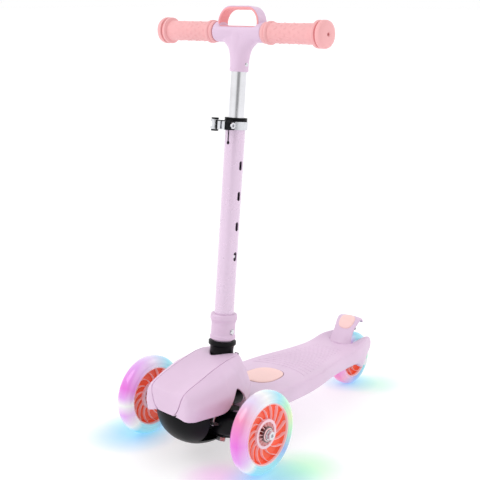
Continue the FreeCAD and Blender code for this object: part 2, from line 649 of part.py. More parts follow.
# Half widths of the deck's outline against the distance behind the front axle.
DECK_OUTLINE = [(20, 38), (50, 48), (75, 59), (100, 65.5), (135, 67), (170, 66.5), (200, 63.5), (228, 58),
                (255, 52), (285, 48), (315, 46.5), (335, 45), (351, 41.5), (366, 37), (380, 32), (398, 24)]


def deck_wire(height, inset, rear=None):
    """The deck's outline at a height, drawn in by an inset."""
    right = [FreeCAD.Vector(half - inset, place, height) for place, half in DECK_OUTLINE]
    if rear is not None:
        right = [point for point in right if point.y <= rear]
    right[0].y += inset
    right[-1].y -= inset
    left = [FreeCAD.Vector(-point.x, point.y, point.z) for point in reversed(right)]
    right_edge = Part.BSplineCurve()
    right_edge.interpolate(right)
    left_edge = Part.BSplineCurve()
    left_edge.interpolate(left)
    edges = [right_edge.toShape(), Part.makeLine(right[-1], left[0]),
             left_edge.toShape(), Part.makeLine(left[-1], right[0])]
    return Part.Wire(edges)


def deck_slab(levels, rear=None):
    """Slabs stacked between outlines at (height, inset) levels."""
    wires = [deck_wire(height, inset, rear) for height, inset in levels]
    slabs = [Part.makeLoft([low, high], True, True) for low, high in zip(wires, wires[1:])]
    solid = slabs[0]
    for slab in slabs[1:]:
        solid = solid.fuse(slab)
    return solid.removeSplitter()


def side_block(points, half):
    """A side view outline, swept evenly to both sides of the middle."""
    corners = [FreeCAD.Vector(-half, y, z) for y, z in points]
    face = Part.Face(Part.makePolygon(corners + corners[:1]))
    return face.extrude(FreeCAD.Vector(2 * half, 0, 0))


def deck_shell():
    top, low = number("deck_top"), number("deck_bottom")
    axle_y, axle_z = number("wheelbase"), number("rear_radius")
    cheek, slot = number("cheek_top"), number("slot_half")
    slab = deck_slab([(low, 7), (low + 13, 1.5), (top - 3, 0), (top, 2.5)])
    cheeks = side_block([(300, low), (312, top - 6), (330, top), (352, cheek - 2), (368, cheek),
                         (381, cheek - 3), (392, cheek - 12), (398, cheek - 26), (396, axle_z - 3),
                         (386, axle_z - 9), (368, axle_z - 11), (350, axle_z - 9), (330, axle_z - 3)], 60)
    solid = slab.fuse(cheeks.common(deck_slab([(30, 6), (low, 1), (top + 12, 3)])))
    trimmed = side_block([(380, 120), (400, 120), (400, 20), (394, 20), (399, axle_z + 10), (394, cheek - 14)], 60)
    solid = solid.cut(trimmed)
    front = axle_y - math.sqrt(number("well_radius") ** 2 - (top - axle_z) ** 2)
    slot_box = Part.makeBox(2 * slot, 120, 120, FreeCAD.Vector(-slot, front + 8, 0))
    slot_nose = Part.makeCylinder(36, 60, FreeCAD.Vector(0, front + 36, top - 12), Z_AXIS)
    nose_room = Part.makeBox(2 * slot, 40, 120, FreeCAD.Vector(-slot, front - 1, 0))
    well = Part.makeCylinder(number("well_radius"), 2 * slot - 4,
                             FreeCAD.Vector(2 - slot, axle_y, axle_z), X_AXIS)
    for tool in (slot_box, slot_nose.common(nose_room), well):
        solid = solid.cut(tool)
    # The underside is hollow, with shallow cross ribs, one long rib and a block over the spine.
    skin = number("skin")
    hollow = deck_slab([(low - 1, 11), (low + 12, 6), (top - skin - 1.5, 5)], rear=316)
    rib_low = top - 10.5
    ribs = [Part.makeBox(160, skin, 60, FreeCAD.Vector(-80, place, rib_low)) for place in (150, 182, 214, 246, 278)]
    ribs.append(Part.makeBox(skin, 260, 60, FreeCAD.Vector(-skin / 2, 125, rib_low)))
    ribs.append(Part.makeBox(60, 106, 60, FreeCAD.Vector(-30, 10, 30)))
    for rib in ribs:
        hollow = hollow.cut(rib)
    solid = solid.cut(hollow.cut(Part.makeBox(200, 40, 80, FreeCAD.Vector(-100, 296, 20))))
    # Room for the brake hinge, the rear axle, the deck pad and the stem socket.
    pin_y, pin_z = number("brake_pin_y"), number("brake_pin_z")
    hinge = Part.makeBox(31, 14.5, 11.5, FreeCAD.Vector(-15.5, pin_y - 6, pin_z - 6))
    web_way = Part.makeBox(31, 12, 20, FreeCAD.Vector(-15.5, pin_y + 3.7, pin_z - 6))
    pin_bore = Part.makeCylinder(2, 60, FreeCAD.Vector(-19.5, pin_y, pin_z), X_AXIS)
    spring_room = Part.makeBox(12, 14.5, 30, FreeCAD.Vector(-6, pin_y - 16, pin_z - 24))
    axle = Part.makeCylinder(number("axle_radius"), 120, FreeCAD.Vector(-60, axle_y, axle_z), X_AXIS)
    recesses = [Part.makeCylinder(8, 30, FreeCAD.Vector(place, axle_y, axle_z), X_AXIS) for place in (29, -59)]
    for tool in [hinge, web_way, pin_bore, axle, spring_room] + recesses:
        solid = solid.cut(tool)
    pad = pad_prism(top - 1.2, 10, 0.15)
    return solid.cut(pad).removeSplitter()


def pad_prism(low, height, grow):
    """The oval of the deck pad, its long axis along the deck."""
    oval = Part.Ellipse(FreeCAD.Vector(0, 139, low), 35 + grow, 28 + grow).toShape()
    oval.rotate(FreeCAD.Vector(0, 139, low), Z_AXIS, 90)
    return Part.Face(Part.Wire([oval])).extrude(FreeCAD.Vector(0, 0, height))


finish(shaped("deck_shape", deck_shell()), "deck_shell", "ground")
finish(shaped("pad_shape", pad_prism(number("deck_top") - 1.2, 2.2, 0)), "deck_pad", "ground")

rear_shank = rod("rear_shank", "axle_radius", "61", ("0", "0", "-32"))
rear_head = hexagon("rear_head", "12.5", "3", ("0", "0", "29"))
rear_hex = hexagon("rear_nut_hex", "12.5", "5", ("0", "0", "-34"))
rear_nut = cut("rear_nut", rear_hex, [rod("rear_nut_bore", "axle_radius", "9", ("0", "0", "-36"))])
finish(group("rear_axle_set", [fuse("rear_bolt", [rear_shank, rear_head]), rear_nut]),
       "rear_axle", "wheel_rear")
rear_washers = [ring(f"rear_washer_{index}", "axle_radius", "8", low, high)
                for index, (low, high) in enumerate((("rear_width / 2 - 1.8", "slot_half - 2.2"),
                                                     ("-slot_half + 2.2", "-rear_width / 2 + 1.8")))]
finish(group("rear_spacer_set", rear_washers + [spacer("spacer_rear", "rear_width")]),
       "rear_spacers", "wheel_rear")

# ---------------------------------------------------------------- brake

def strip_outline(line, thickness):
    """A closed side outline of even thickness under a line of (y, z) points."""
    below = []
    for index, (y, z) in enumerate(line):
        before, after = line[max(index - 1, 0)], line[min(index + 1, len(line) - 1)]
        dy, dz = after[0] - before[0], after[1] - before[1]
        length = math.hypot(dy, dz)
        below.append((y + thickness * dz / length, z - thickness * dy / length))
    return line + below[::-1]


FENDER_LINE = [(331.5, 80), (339, 87.5), (347, 98.5), (354, 109.5), (360, 117), (367, 120.5),
               (375, 119), (382, 114), (388, 107)]


def fender():
    """The foot brake: a curved tongue that widens to a round head over the wheel."""
    body = side_block(strip_outline(FENDER_LINE, 4), 30)
    half = number("fender_half")
    neck = Part.makeBox(2 * half, 70, 90, FreeCAD.Vector(-half, 326, 60))
    head = Part.makeCylinder(half + 3, 90, FreeCAD.Vector(0, 366, 60), Z_AXIS)
    rear = Part.makeBox(120, 60, 90, FreeCAD.Vector(-60, 366, 60))
    front = number("wheelbase") - math.sqrt(number("well_radius") ** 2
                                            - (number("deck_top") - number("rear_radius")) ** 2)
    nose = Part.makeCylinder(35.3, 90, FreeCAD.Vector(0, front + 36, 60), Z_AXIS)
    body = body.common(neck.cut(rear).common(nose).fuse(head))
    pin_y, pin_z = number("brake_pin_y"), number("brake_pin_z")
    knuckle_eye = Part.makeCylinder(4.2, 28, FreeCAD.Vector(-14, pin_y, pin_z), X_AXIS)
    web = side_block([(325, 69), (327.5, 68), (333, 76), (334.5, 84), (331.5, 80.2), (329.5, 76)], 14)
    pin = Part.makeCylinder(2.05, 60, FreeCAD.Vector(-30, pin_y, pin_z), X_AXIS)
    spring_gap = Part.makeBox(9, 12, 12.5, FreeCAD.Vector(-4.5, pin_y - 6, pin_z - 7))
    body = body.fuse(knuckle_eye).fuse(web).cut(pin).cut(spring_gap)
    shoe_bolt = Part.makeCylinder(2, 30, FreeCAD.Vector(0, 368, 96), Z_AXIS)
    return body.cut(shoe_bolt).removeSplitter()


def brake_pad():
    """The oval tread pad on the sloping face of the brake."""
    skin = side_block(strip_outline([(y - 0.75, z + 1.2) for y, z in FENDER_LINE], 1.0), 30)
    oval = Part.Ellipse(FreeCAD.Vector(0, 356.5, 60), 15.5, 12).toShape()
    return skin.common(Part.Face(Part.Wire([oval])).extrude(FreeCAD.Vector(0, 0, 90)))


def brake_shoe():
    """The rubber block under the fender that rubs on the rear wheel."""
    block = Part.makeBox(16, 11, 40, FreeCAD.Vector(-8, 362.5, 94.8))
    ceiling = side_block(strip_outline(FENDER_LINE, 4)[len(FENDER_LINE):] + [(331, 200), (400, 200), (400, 90)], 30)
    stud = Part.makeCylinder(2, 22, FreeCAD.Vector(0, 368, 96.5), Z_AXIS)
    return block.cut(ceiling).fuse(stud).removeSplitter()


finish(shaped("fender_shape", fender()), "brake_fender", "ground")
finish(shaped("brake_pad_shape", brake_pad()), "brake_pad", "ground")
finish(shaped("brake_shoe_shape", brake_shoe()), "brake_shoe", "ground")
finish(rod("brake_pin_rod", "2", "38.6", ("-19.3", "0", "0"), "X"), "brake_pin", "ground")
brake_pin = sub_parts[-1]
brake_pin.Placement = FreeCAD.Placement(FreeCAD.Vector(), ALONG_X)
bind(brake_pin, "Placement.Base.x", "-19.3")
bind(brake_pin, "Placement.Base.y", "front_axle_y + brake_pin_y")
bind(brake_pin, "Placement.Base.z", "brake_pin_z")


def brake_spring():
    """The torsion spring round the brake pin, one leg down in the deck."""
    coil = Part.makeCylinder(4, 7, FreeCAD.Vector(-3.5, 0, 0), X_AXIS)
    coil = coil.cut(Part.makeCylinder(2.1, 9, FreeCAD.Vector(-4.5, 0, 0), X_AXIS))
    leg = Part.makeBox(1.2, 1.2, 18, FreeCAD.Vector(-3.2, -3.9, -18))
    return coil.fuse(leg).removeSplitter()


spring = shaped("brake_spring_shape", brake_spring())
finish(group("brake_spring_set", [spring]), "brake_spring", "ground")
bind(spring, "Placement.Base.y", "brake_pin_y")
bind(spring, "Placement.Base.z", "brake_pin_z")

# ---------------------------------------------------------------- bonnet and belly pan

# Sections of the bonnet: distance behind the front axle, then the right half of the roof line
# from the middle through the crease and the widest point to the lip, as (x, z) points.
BONNET = [
    (-76, [(0, 79), (13, 79), (17, 78), (20, 77), (21, 75)]),
    (-73, [(0, 92), (27, 95), (33, 89), (37, 80), (38, 75)]),
    (-66, [(0, 103), (30, 108), (38, 100), (46, 86), (46, 75)]),
    (-50, [(0, 117), (31, 121), (42, 112), (56, 92), (54, 75)]),
    (-28, [(0, 128.5), (32, 131), (46, 119), (63, 93), (60, 76)]),
    (-8, [(0, 136), (32, 137.5), (47, 125), (65, 94), (63, 78)]),
    (14, [(0, 142), (32, 143.5), (46, 131), (64, 100), (62, 83)]),
    (36, [(0, 145), (31, 145), (42, 134), (58, 106), (57, 88)]),
    (47, [(0, 145), (29, 143.5), (38, 132), (52, 106), (51, 94)])]


def bonnet_loft(wall):
    """The bonnet's form, drawn in by a wall; an inner form runs out of its bottom and rear."""
    wires = []
    for place, half in BONNET:
        right = [FreeCAD.Vector(max(x - wall, 0), place + wall, z - wall) for x, z in half]
        right[-1].z -= wall
        if wall and place == BONNET[-1][0]:
            right = [point + FreeCAD.Vector(0, wall, 0) for point in right]
        left = [FreeCAD.Vector(-point.x, point.y, point.z) for point in reversed(right[1:])]
        corners = left + right
        wires.append(Part.makePolygon(corners + corners[:1]))
    return Part.makeLoft(wires, True, True)


def bonnet():
    shell = bonnet_loft(0).cut(bonnet_loft(number("skin")))
    for side in (1, -1):
        arch = Part.makeCylinder(19, 60, FreeCAD.Vector(36 if side == 1 else -96, 7, 92), X_AXIS)
        foot = Part.makeBox(60, 38, 40, FreeCAD.Vector(36 if side == 1 else -96, -12, 52))
        shell = shell.cut(arch).cut(foot)
    corners = [(-31, 52), (-12, 20), (-5, 16), (5, 16), (12, 20), (31, 52)]
    throat = Part.makePolygon([FreeCAD.Vector(x, y, 104) for x, y in corners + corners[:1]])
    return shell.cut(Part.Face(throat).extrude(FreeCAD.Vector(0, 0, 60)))


def belly_pan():
    """The black tub under the bonnet, open at the top and at the sides for the arms."""
    skin = number("skin")
    middle_point = FreeCAD.Vector(0, -9, 74)

    def bowl(wall):
        ball = Part.makeSphere(1, FreeCAD.Vector(), FreeCAD.Vector(0, 0, 1))
        matrix = FreeCAD.Matrix()
        matrix.scale(FreeCAD.Vector(56 - wall, 64 - wall, 52 - wall))
        shape = ball.transformGeometry(matrix)
        shape.translate(middle_point)
        return shape

    shell = bowl(0).cut(bowl(skin))
    roof = Part.makeBox(200, 200, 100, FreeCAD.Vector(-100, -100, 74))
    arm_ways = Part.makeBox(200, 69, 60, FreeCAD.Vector(-100, -38, 38))
    core = Part.makeBox(72, 200, 100, FreeCAD.Vector(-36, -100, 0))
    spine_way = Part.makeBox(45, 80, 40, FreeCAD.Vector(-22.5, 0, 35.5))
    deck_way = Part.makeBox(200, 80, 60, FreeCAD.Vector(-100, 17, 49.5))
    carrier_way = Part.makeBox(108, 25, 47, FreeCAD.Vector(-54, -12, -23.5))
    for side in (1, -1):
        nut_way = Part.makeCylinder(9, 70, FreeCAD.Vector(side * number("kingpin_x"), 0, -35), Z_AXIS)
        carrier_way = carrier_way.fuse(nut_way)
    carrier_way.Placement = FreeCAD.Placement(FreeCAD.Vector(0, 0, number("wheel_radius")), KINGPIN_TURN)
    for tool in (roof, arm_ways.cut(core), spine_way, deck_way, carrier_way):
        shell = shell.cut(tool)
    return max(shell.Solids, key=lambda solid: solid.Volume)


finish(shaped("bonnet_shape", bonnet()), "bonnet", "ground")
finish(shaped("belly_shape", belly_pan()), "belly_pan", "ground")
cover = box("cover_block", ("-30", "-46", "88.5"), ("30", "5", "94"))
cover_room = box("cover_room", ("-27", "-43", "80"), ("27", "2", "91.5"))
finish(cut("cover_cut", cover, [cover_room]), "linkage_cover", "ground")

# ---------------------------------------------------------------- checks and files

doc.recompute()
for item in doc.Objects:
    if "Invalid" in item.State or "Error" in item.State:
        raise RuntimeError(f"{item.Label} failed: {item.State}")
os.makedirs("parts", exist_ok=True)
for item in sub_parts:
    shape = item.Shape
    if shape.isNull() or not shape.isValid() or not shape.Solids:
        raise RuntimeError(f"{item.Label} has no valid solid")
    shape.exportStep(f"parts/{item.Label}.step")
    print(f"{item.Label:18s} {len(shape.Solids)} solid(s) {shape.Volume:10.1f} mm3")
print(len(sub_parts), "sub-parts")
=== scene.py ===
import json
import math

import bmesh
import bpy
from mathutils import Euler, Matrix, Vector


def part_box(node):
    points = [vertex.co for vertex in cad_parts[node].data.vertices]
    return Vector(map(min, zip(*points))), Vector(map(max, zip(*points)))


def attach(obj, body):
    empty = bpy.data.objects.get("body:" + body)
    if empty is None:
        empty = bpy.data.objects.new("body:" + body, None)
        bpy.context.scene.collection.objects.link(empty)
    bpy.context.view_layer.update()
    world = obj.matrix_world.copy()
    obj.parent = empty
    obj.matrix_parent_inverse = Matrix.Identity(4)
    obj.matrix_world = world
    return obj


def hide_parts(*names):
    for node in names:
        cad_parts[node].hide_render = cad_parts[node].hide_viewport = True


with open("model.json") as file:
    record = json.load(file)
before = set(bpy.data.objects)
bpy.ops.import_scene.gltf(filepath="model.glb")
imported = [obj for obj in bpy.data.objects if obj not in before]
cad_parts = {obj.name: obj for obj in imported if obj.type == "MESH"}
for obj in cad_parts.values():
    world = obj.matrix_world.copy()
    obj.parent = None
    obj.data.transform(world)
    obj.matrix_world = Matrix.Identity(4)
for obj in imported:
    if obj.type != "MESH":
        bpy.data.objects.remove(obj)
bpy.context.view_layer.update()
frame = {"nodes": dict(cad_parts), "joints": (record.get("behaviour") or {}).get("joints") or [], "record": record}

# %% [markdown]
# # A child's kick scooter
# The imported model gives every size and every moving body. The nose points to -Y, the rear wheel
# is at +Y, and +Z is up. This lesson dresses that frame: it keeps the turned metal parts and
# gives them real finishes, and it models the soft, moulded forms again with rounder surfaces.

MM = 0.001
SIDES = {"right": 1, "left": -1}
NODES = frame["nodes"]


def middle(node):
    """The middle of a node's box."""
    low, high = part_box(node)
    return (low + high) / 2


axle = middle("wheel_right_tyre")
rear_axle_place = middle("wheel_rear_tyre")
bar_place = middle("handlebar_tube")
stem_axis = Vector(next(joint["axis"] for joint in frame["joints"] if joint["name"] == "height"))
stem_tilt = math.atan2(stem_axis.y, stem_axis.z)


def at(x, y, z):
    """A point in millimetres: x to the side, y behind the front axle, z above the ground."""
    return Vector((x * MM, axle.y + y * MM, z * MM))


def on_bar(x, y, z):
    """A point measured from the middle of the handlebar, in the tilted stem's directions."""
    return bar_place + Matrix.Rotation(-stem_tilt, 3, "X") @ Vector((x, y, z)) * MM


print("front axle", [round(value, 4) for value in axle], "bar", [round(value, 4) for value in bar_place])

# %% [markdown]
# ## Finishes
# Moulded plastic is never one flat colour: its tint drifts a little over a hand's width, its
# gloss is uneven, and a fine grain from the mould catches the light. Each finish below is one
# Principled shader with constants on its own sockets, and noise fields, in object coordinates,
# that drive its colour, roughness and bump.

# %% Building blocks for materials
def finish_called(name, color, roughness, **more):
    """A material with a plain colour and roughness, and any other sockets by their names."""
    made = bpy.data.materials.new(name)
    made.use_nodes = True
    sockets = made.node_tree.nodes["Principled BSDF"].inputs
    sockets["Base Color"].default_value = (*color, 1)
    sockets["Roughness"].default_value = roughness
    for word, value in more.items():
        sockets[word.replace("_", " ")].default_value = value
    return made


def noise_field(made, scale, stretch=(1, 1, 1), detail=3.0):
    """A noise over the piece in object coordinates; a large scale is a fine noise."""
    nodes, links = made.node_tree.nodes, made.node_tree.links
    kinds = ("TexCoord", "Mapping", "TexNoise")
    place, stretcher, field = (nodes.new("ShaderNode" + kind) for kind in kinds)
    stretcher.inputs["Scale"].default_value = stretch
    field.inputs["Scale"].default_value = scale
    field.inputs["Detail"].default_value = detail
    links.new(place.outputs["Object"], stretcher.inputs["Vector"])
    links.new(stretcher.outputs["Vector"], field.inputs["Vector"])
    return field.outputs["Fac"]


def ramped(made, field, stops):
    """The colour that a field picks from (place, colour) stops."""
    ramp = made.node_tree.nodes.new("ShaderNodeValToRGB")
    elements = ramp.color_ramp.elements
    while len(elements) < len(stops):
        elements.new(0.5)
    for element, (place, color) in zip(elements, stops):
        element.position = place
        element.color = (*color, 1)
    made.node_tree.links.new(field, ramp.inputs["Fac"])
    return ramp.outputs["Color"]


def tinted(made, field, stops, socket="Base Color"):
    """Drives a colour socket from a field through a ramp of (place, colour) stops."""
    color = ramped(made, field, stops)
    made.node_tree.links.new(color, made.node_tree.nodes["Principled BSDF"].inputs[socket])
    return made


def uneven(made, field, low, high):
    """Lets the roughness wander between two values."""
    span = made.node_tree.nodes.new("ShaderNodeMapRange")
    limits = {"From Min": 0.3, "From Max": 0.7, "To Min": low, "To Max": high}
    for word, value in limits.items():
        span.inputs[word].default_value = value
    shader = made.node_tree.nodes["Principled BSDF"]
    made.node_tree.links.new(field, span.inputs["Value"])
    made.node_tree.links.new(span.outputs["Result"], shader.inputs["Roughness"])
    return made


def grained(made, field, strength, depth):
    """Adds a relief of a given depth in metres."""
    bump = made.node_tree.nodes.new("ShaderNodeBump")
    bump.inputs["Strength"].default_value = strength
    bump.inputs["Distance"].default_value = depth
    shader = made.node_tree.nodes["Principled BSDF"]
    made.node_tree.links.new(field, bump.inputs["Height"])
    if shader.inputs["Normal"].is_linked:
        made.node_tree.links.new(shader.inputs["Normal"].links[0].from_socket, bump.inputs["Normal"])
    made.node_tree.links.new(bump.outputs["Normal"], shader.inputs["Normal"])
    return made


def moulded(name, color, roughness, drift=0.05, grain=900, depth=0.00006, **more):
    """Moulded plastic or rubber: the tint drifts, the gloss wanders and a grain stands up."""
    made = finish_called(name, color, roughness, **more)
    dark = [value * (1 - drift) for value in color]
    light = [min(value * (1 + drift), 1) for value in color]
    tinted(made, noise_field(made, 14), [(0.35, dark), (0.65, light)])
    uneven(made, noise_field(made, 60), roughness - 0.05, roughness + 0.07)
    return grained(made, noise_field(made, grain), 0.35, depth)


def metal(name, color, roughness, stretch=(1, 1, 1), scale=500, depth=0.00002, **more):
    """Metal with fine marks drawn out along one direction; a small stretch draws them long."""
    made = finish_called(name, color, roughness, Metallic=1.0, **more)
    dark = [value * 0.9 for value in color]
    tinted(made, noise_field(made, 40), [(0.3, dark), (0.7, color)])
    uneven(made, noise_field(made, scale, stretch), max(roughness - 0.06, 0.02), roughness + 0.08)
    return grained(made, noise_field(made, scale, stretch), 0.3, depth)


# %% The scooter's finishes
LILAC, LILAC_PEARL = (0.72, 0.53, 0.70), (0.74, 0.57, 0.73)
lilac_plastic = moulded("lilac_plastic", LILAC, 0.42, 0.035, Coat_Weight=0.15, Coat_Roughness=0.3)
lilac_paint = moulded("lilac_paint", LILAC_PEARL, 0.28, 0.012, grain=60, depth=0.000004,
                      Metallic=0.25, Coat_Weight=1.0, Coat_Roughness=0.06)
pink_rubber = moulded("pink_rubber", (0.86, 0.42, 0.43), 0.58, 0.05, grain=700, depth=0.0001,
                      Sheen_Weight=0.15)
coral_liner = moulded("coral_liner", (0.88, 0.36, 0.38), 0.50, 0.05)
peach_rubber = moulded("peach_rubber", (0.95, 0.64, 0.61), 0.66, 0.04, grain=600, depth=0.00012,
                       Sheen_Weight=0.2)
# The coral core's faint emission is a painted glow; the core is no lamp.
coral_plastic = moulded("coral_plastic", (0.86, 0.10, 0.045), 0.35, 0.12, Coat_Weight=0.25,
                        Emission_Color=(0.95, 0.10, 0.02, 1), Emission_Strength=0.16)
# The ribs' faint emission is a painted glow; the ribs are no lamp.
rib_plastic = moulded("rib_plastic", (0.93, 0.58, 0.60), 0.35, 0.05, Coat_Weight=0.4,
                      Emission_Color=(1.0, 0.6, 0.6, 1), Emission_Strength=0.06)
black_plastic = moulded("black_plastic", (0.002, 0.002, 0.003), 0.36, 0.25, grain=800, depth=0.00006,
                       Specular_IOR_Level=0.14)
black_rubber = moulded("black_rubber", (0.005, 0.005, 0.006), 0.7, 0.2, grain=500, depth=0.00012,
                      Specular_IOR_Level=0.2)
# A darker lilac for the floor of the recess round the deck's pad: painted shade in the recess.
recess_shade = moulded("recess_shade", (0.42, 0.27, 0.36), 0.6, 0.06)
chrome = metal("chrome_tube", (0.80, 0.80, 0.83), 0.10, (1, 1, 0.06))
satin_alloy = metal("satin_alloy", (0.72, 0.73, 0.76), 0.28, (1, 1, 0.15))
bright_steel = metal("bright_steel", (0.74, 0.74, 0.77), 0.16, (0.2, 1, 1))
zinc_steel = metal("zinc_steel", (0.58, 0.59, 0.61), 0.32, (0.3, 1, 1))
spring_steel = metal("spring_steel", (0.50, 0.50, 0.53), 0.30, (1, 0.3, 1))
ring_frost = moulded("ring_frost", (0.90, 0.62, 0.70), 0.5, 0.03, Emission_Color=(1, 0.5, 0.6, 1),
                     Emission_Strength=0.05)
print(len(bpy.data.materials), "finishes so far")

# %% [markdown]
# ## Glowing tyres
# The tyres are cast in clear urethane and lit from within by a ring of coloured lamps, so the
# colour changes round the wheel. A radial gradient round the axle gives the angle, and a ramp
# turns the angle into colour. A Mapping node brings the axle to the pattern's middle and lays the
# wheel's plane into the gradient's plane. The pattern is on the piece, so it turns with the wheel.
# The distance from the wheel's middle plane then mixes the deep colours of the tread with the
# paler ones of the side walls.

# %% The colours of the lamps, by their place round the wheel
# The glow is deep on the tread and paler on the side walls, which begin this far from the middle.
GLOW, TREAD_EDGE, WALL_EDGE = 0.55, 5 * MM, 12 * MM
MAGENTA, ROSE, CYAN = (0.93, 0.25, 0.86), (1.0, 0.42, 0.66), (0.30, 0.83, 1.0)
BLUE, GREEN, LIME, WHITE = (0.28, 0.45, 1.0), (0.45, 0.96, 0.60), (0.80, 0.97, 0.50), (1.0, 1.0, 1.0)
PALE, LILAC_GLOW = (0.90, 0.80, 1.0), (0.90, 0.52, 0.97)
# 0 is the front of the wheel, 0.25 the bottom, 0.5 the rear and 0.75 the top.
LAMPS = {
    "right": [(0.0, MAGENTA), (0.07, LILAC_GLOW), (0.125, WHITE), (0.16, CYAN), (0.22, CYAN), (0.30, CYAN),
              (0.38, BLUE), (0.47, GREEN), (0.54, LIME), (0.61, GREEN), (0.68, CYAN), (0.76, WHITE),
              (0.82, PALE), (0.90, ROSE), (1.0, MAGENTA)],
    "left": [(0.0, WHITE), (0.045, LILAC_GLOW), (0.11, WHITE), (0.15, CYAN), (0.24, CYAN), (0.33, BLUE),
             (0.42, CYAN), (0.55, GREEN), (0.66, CYAN), (0.75, PALE), (0.83, LILAC_GLOW), (0.93, MAGENTA),
             (0.97, LILAC_GLOW), (1.0, WHITE)],
    "rear": [(0.0, MAGENTA), (0.12, ROSE), (0.25, BLUE), (0.38, CYAN), (0.5, GREEN), (0.62, CYAN),
             (0.74, CYAN), (0.85, MAGENTA), (1.0, MAGENTA)]}


def mixed(made, share, one, two, socket):
    """Drives a socket by two colours, mixed by a share."""
    mix = made.node_tree.nodes.new("ShaderNodeMix")
    mix.data_type = "RGBA"
    for place, source in zip(("Factor", "A", "B"), (share, one, two)):
        wanted = next(plug for plug in mix.inputs if plug.name == place and plug.enabled)
        made.node_tree.links.new(source, wanted)
    color = next(plug for plug in mix.outputs if plug.enabled)
    made.node_tree.links.new(color, made.node_tree.nodes["Principled BSDF"].inputs[socket])


def glowing(name, centre, lamps):
    """Clear urethane with light inside it: the colour follows the angle round the axle."""
    made = finish_called(name, (0.4, 0.35, 0.42), 0.16, Emission_Strength=GLOW, Coat_Weight=1.0,
                         Coat_Roughness=0.05, Subsurface_Weight=0.1, Subsurface_Scale=0.006)
    nodes, links = made.node_tree.nodes, made.node_tree.links
    kinds = ("TexCoord", "Mapping", "TexGradient")
    place, lay, turn = (nodes.new("ShaderNode" + kind) for kind in kinds)
    lay.vector_type = "TEXTURE"
    lay.inputs["Location"].default_value = centre
    lay.inputs["Rotation"].default_value = Matrix(((0, 0, 1), (1, 0, 0), (0, 1, 0))).to_euler()
    turn.gradient_type = "RADIAL"
    links.new(place.outputs["Object"], lay.inputs["Vector"])
    links.new(lay.outputs["Vector"], turn.inputs["Vector"])
    apart, flat = nodes.new("ShaderNodeSeparateXYZ"), nodes.new("ShaderNodeMath")
    flat.operation = "ABSOLUTE"
    links.new(lay.outputs["Vector"], apart.inputs["Vector"])
    links.new(apart.outputs["Z"], flat.inputs[0])
    wall = nodes.new("ShaderNodeMapRange")
    wall.inputs["From Min"].default_value = TREAD_EDGE
    wall.inputs["From Max"].default_value = WALL_EDGE
    links.new(flat.outputs["Value"], wall.inputs["Value"])
    deep = [(where, [part ** 1.8 for part in color]) for where, color in lamps]
    pale = [(where, [0.16 + 0.8 * part for part in color]) for where, color in lamps]
    dim = [(where, [0.34 * part for part in color]) for where, color in lamps]
    mixed(made, wall.outputs["Result"], ramped(made, turn.outputs["Fac"], deep),
          ramped(made, turn.outputs["Fac"], pale), "Emission Color")
    tinted(made, turn.outputs["Fac"], dim)
    uneven(made, noise_field(made, 90), 0.10, 0.24)
    return grained(made, noise_field(made, 260), 0.25, 0.00006)


# %% [markdown]
# ## Helpers for shapes
# Most pieces start as a few chains of points that are bridged, spun or extruded. One helper
# turns a finished bmesh into an object, with its doubles merged and its faces pointing outwards.
# Another dresses the object: it gives the finish and the smooth shading, and it says which body
# the piece rides on and which nodes it replaces.

# %% Chains, bridges and spins
def chain(mesh, points, closed=False):
    """Joins points with edges, and gives the edges."""
    verts = [mesh.verts.new(point) for point in points]
    pairs = list(zip(verts, verts[1:]))
    if closed:
        pairs.append((verts[-1], verts[0]))
    return [mesh.edges.new(pair) for pair in pairs]


def bridged(rows, closed=False):
    """A skin over rows of points, each row bridged to the next."""
    mesh = bmesh.new()
    before = chain(mesh, rows[0], closed)
    for row in rows[1:]:
        after = chain(mesh, row, closed)
        bmesh.ops.bridge_loops(mesh, edges=before + after)
        before = after
    return mesh


def spun(profile, centre, axis, steps=96):
    """Turns (along, radius) points, in millimetres, round an axis through a centre."""
    mesh = bmesh.new()
    side = axis.orthogonal().normalized()
    points = [centre + axis * along * MM + side * radius * MM for along, radius in profile]
    edges = chain(mesh, points)
    verts = list({vert for edge in edges for vert in edge.verts})
    bmesh.ops.spin(mesh, geom=verts + edges, cent=centre, axis=axis, angle=math.tau, steps=steps,
                   use_merge=True)
    bmesh.ops.remove_doubles(mesh, verts=mesh.verts, dist=1e-6)
    return mesh


def slab_of(points, direction):
    """A flat outline, filled and drawn out along a direction."""
    mesh = bmesh.new()
    edges = chain(mesh, points, closed=True)
    face = bmesh.ops.contextual_create(mesh, geom=edges)["faces"]
    drawn = bmesh.ops.extrude_face_region(mesh, geom=face)["geom"]
    bmesh.ops.translate(mesh, verts=[item for item in drawn if isinstance(item, bmesh.types.BMVert)],
                        vec=direction)
    return mesh


def as_object(name, mesh):
    """A bmesh made into a linked object, its doubles merged and its faces pointing outwards."""
    bmesh.ops.remove_doubles(mesh, verts=mesh.verts, dist=1e-6)
    bmesh.ops.recalc_face_normals(mesh, faces=mesh.faces)
    data = bpy.data.meshes.new(name)
    mesh.to_mesh(data)
    mesh.free()
    item = bpy.data.objects.new(name, data)
    bpy.context.scene.collection.objects.link(item)
    return item


def modifier(item, kind, **settings):
    """Adds a modifier with its settings by their names."""
    added = item.modifiers.new(kind.title(), kind)
    for word, value in settings.items():
        setattr(added, word, value)
    return added


def settled(item):
    """The object with its modifiers applied."""
    bpy.context.view_layer.update()
    seen = item.evaluated_get(bpy.context.evaluated_depsgraph_get())
    data = bpy.data.meshes.new_from_object(seen)
    item.modifiers.clear()
    item.data = data
    return item


def carved(item, cutters, how="DIFFERENCE"):
    """Applies booleans with cutter objects, which are then removed."""
    for cutter in cutters:
        modifier(item, "BOOLEAN", operation=how, solver="EXACT", object=cutter)
    settled(item)
    for cutter in cutters:
        bpy.data.objects.remove(cutter)
    return item


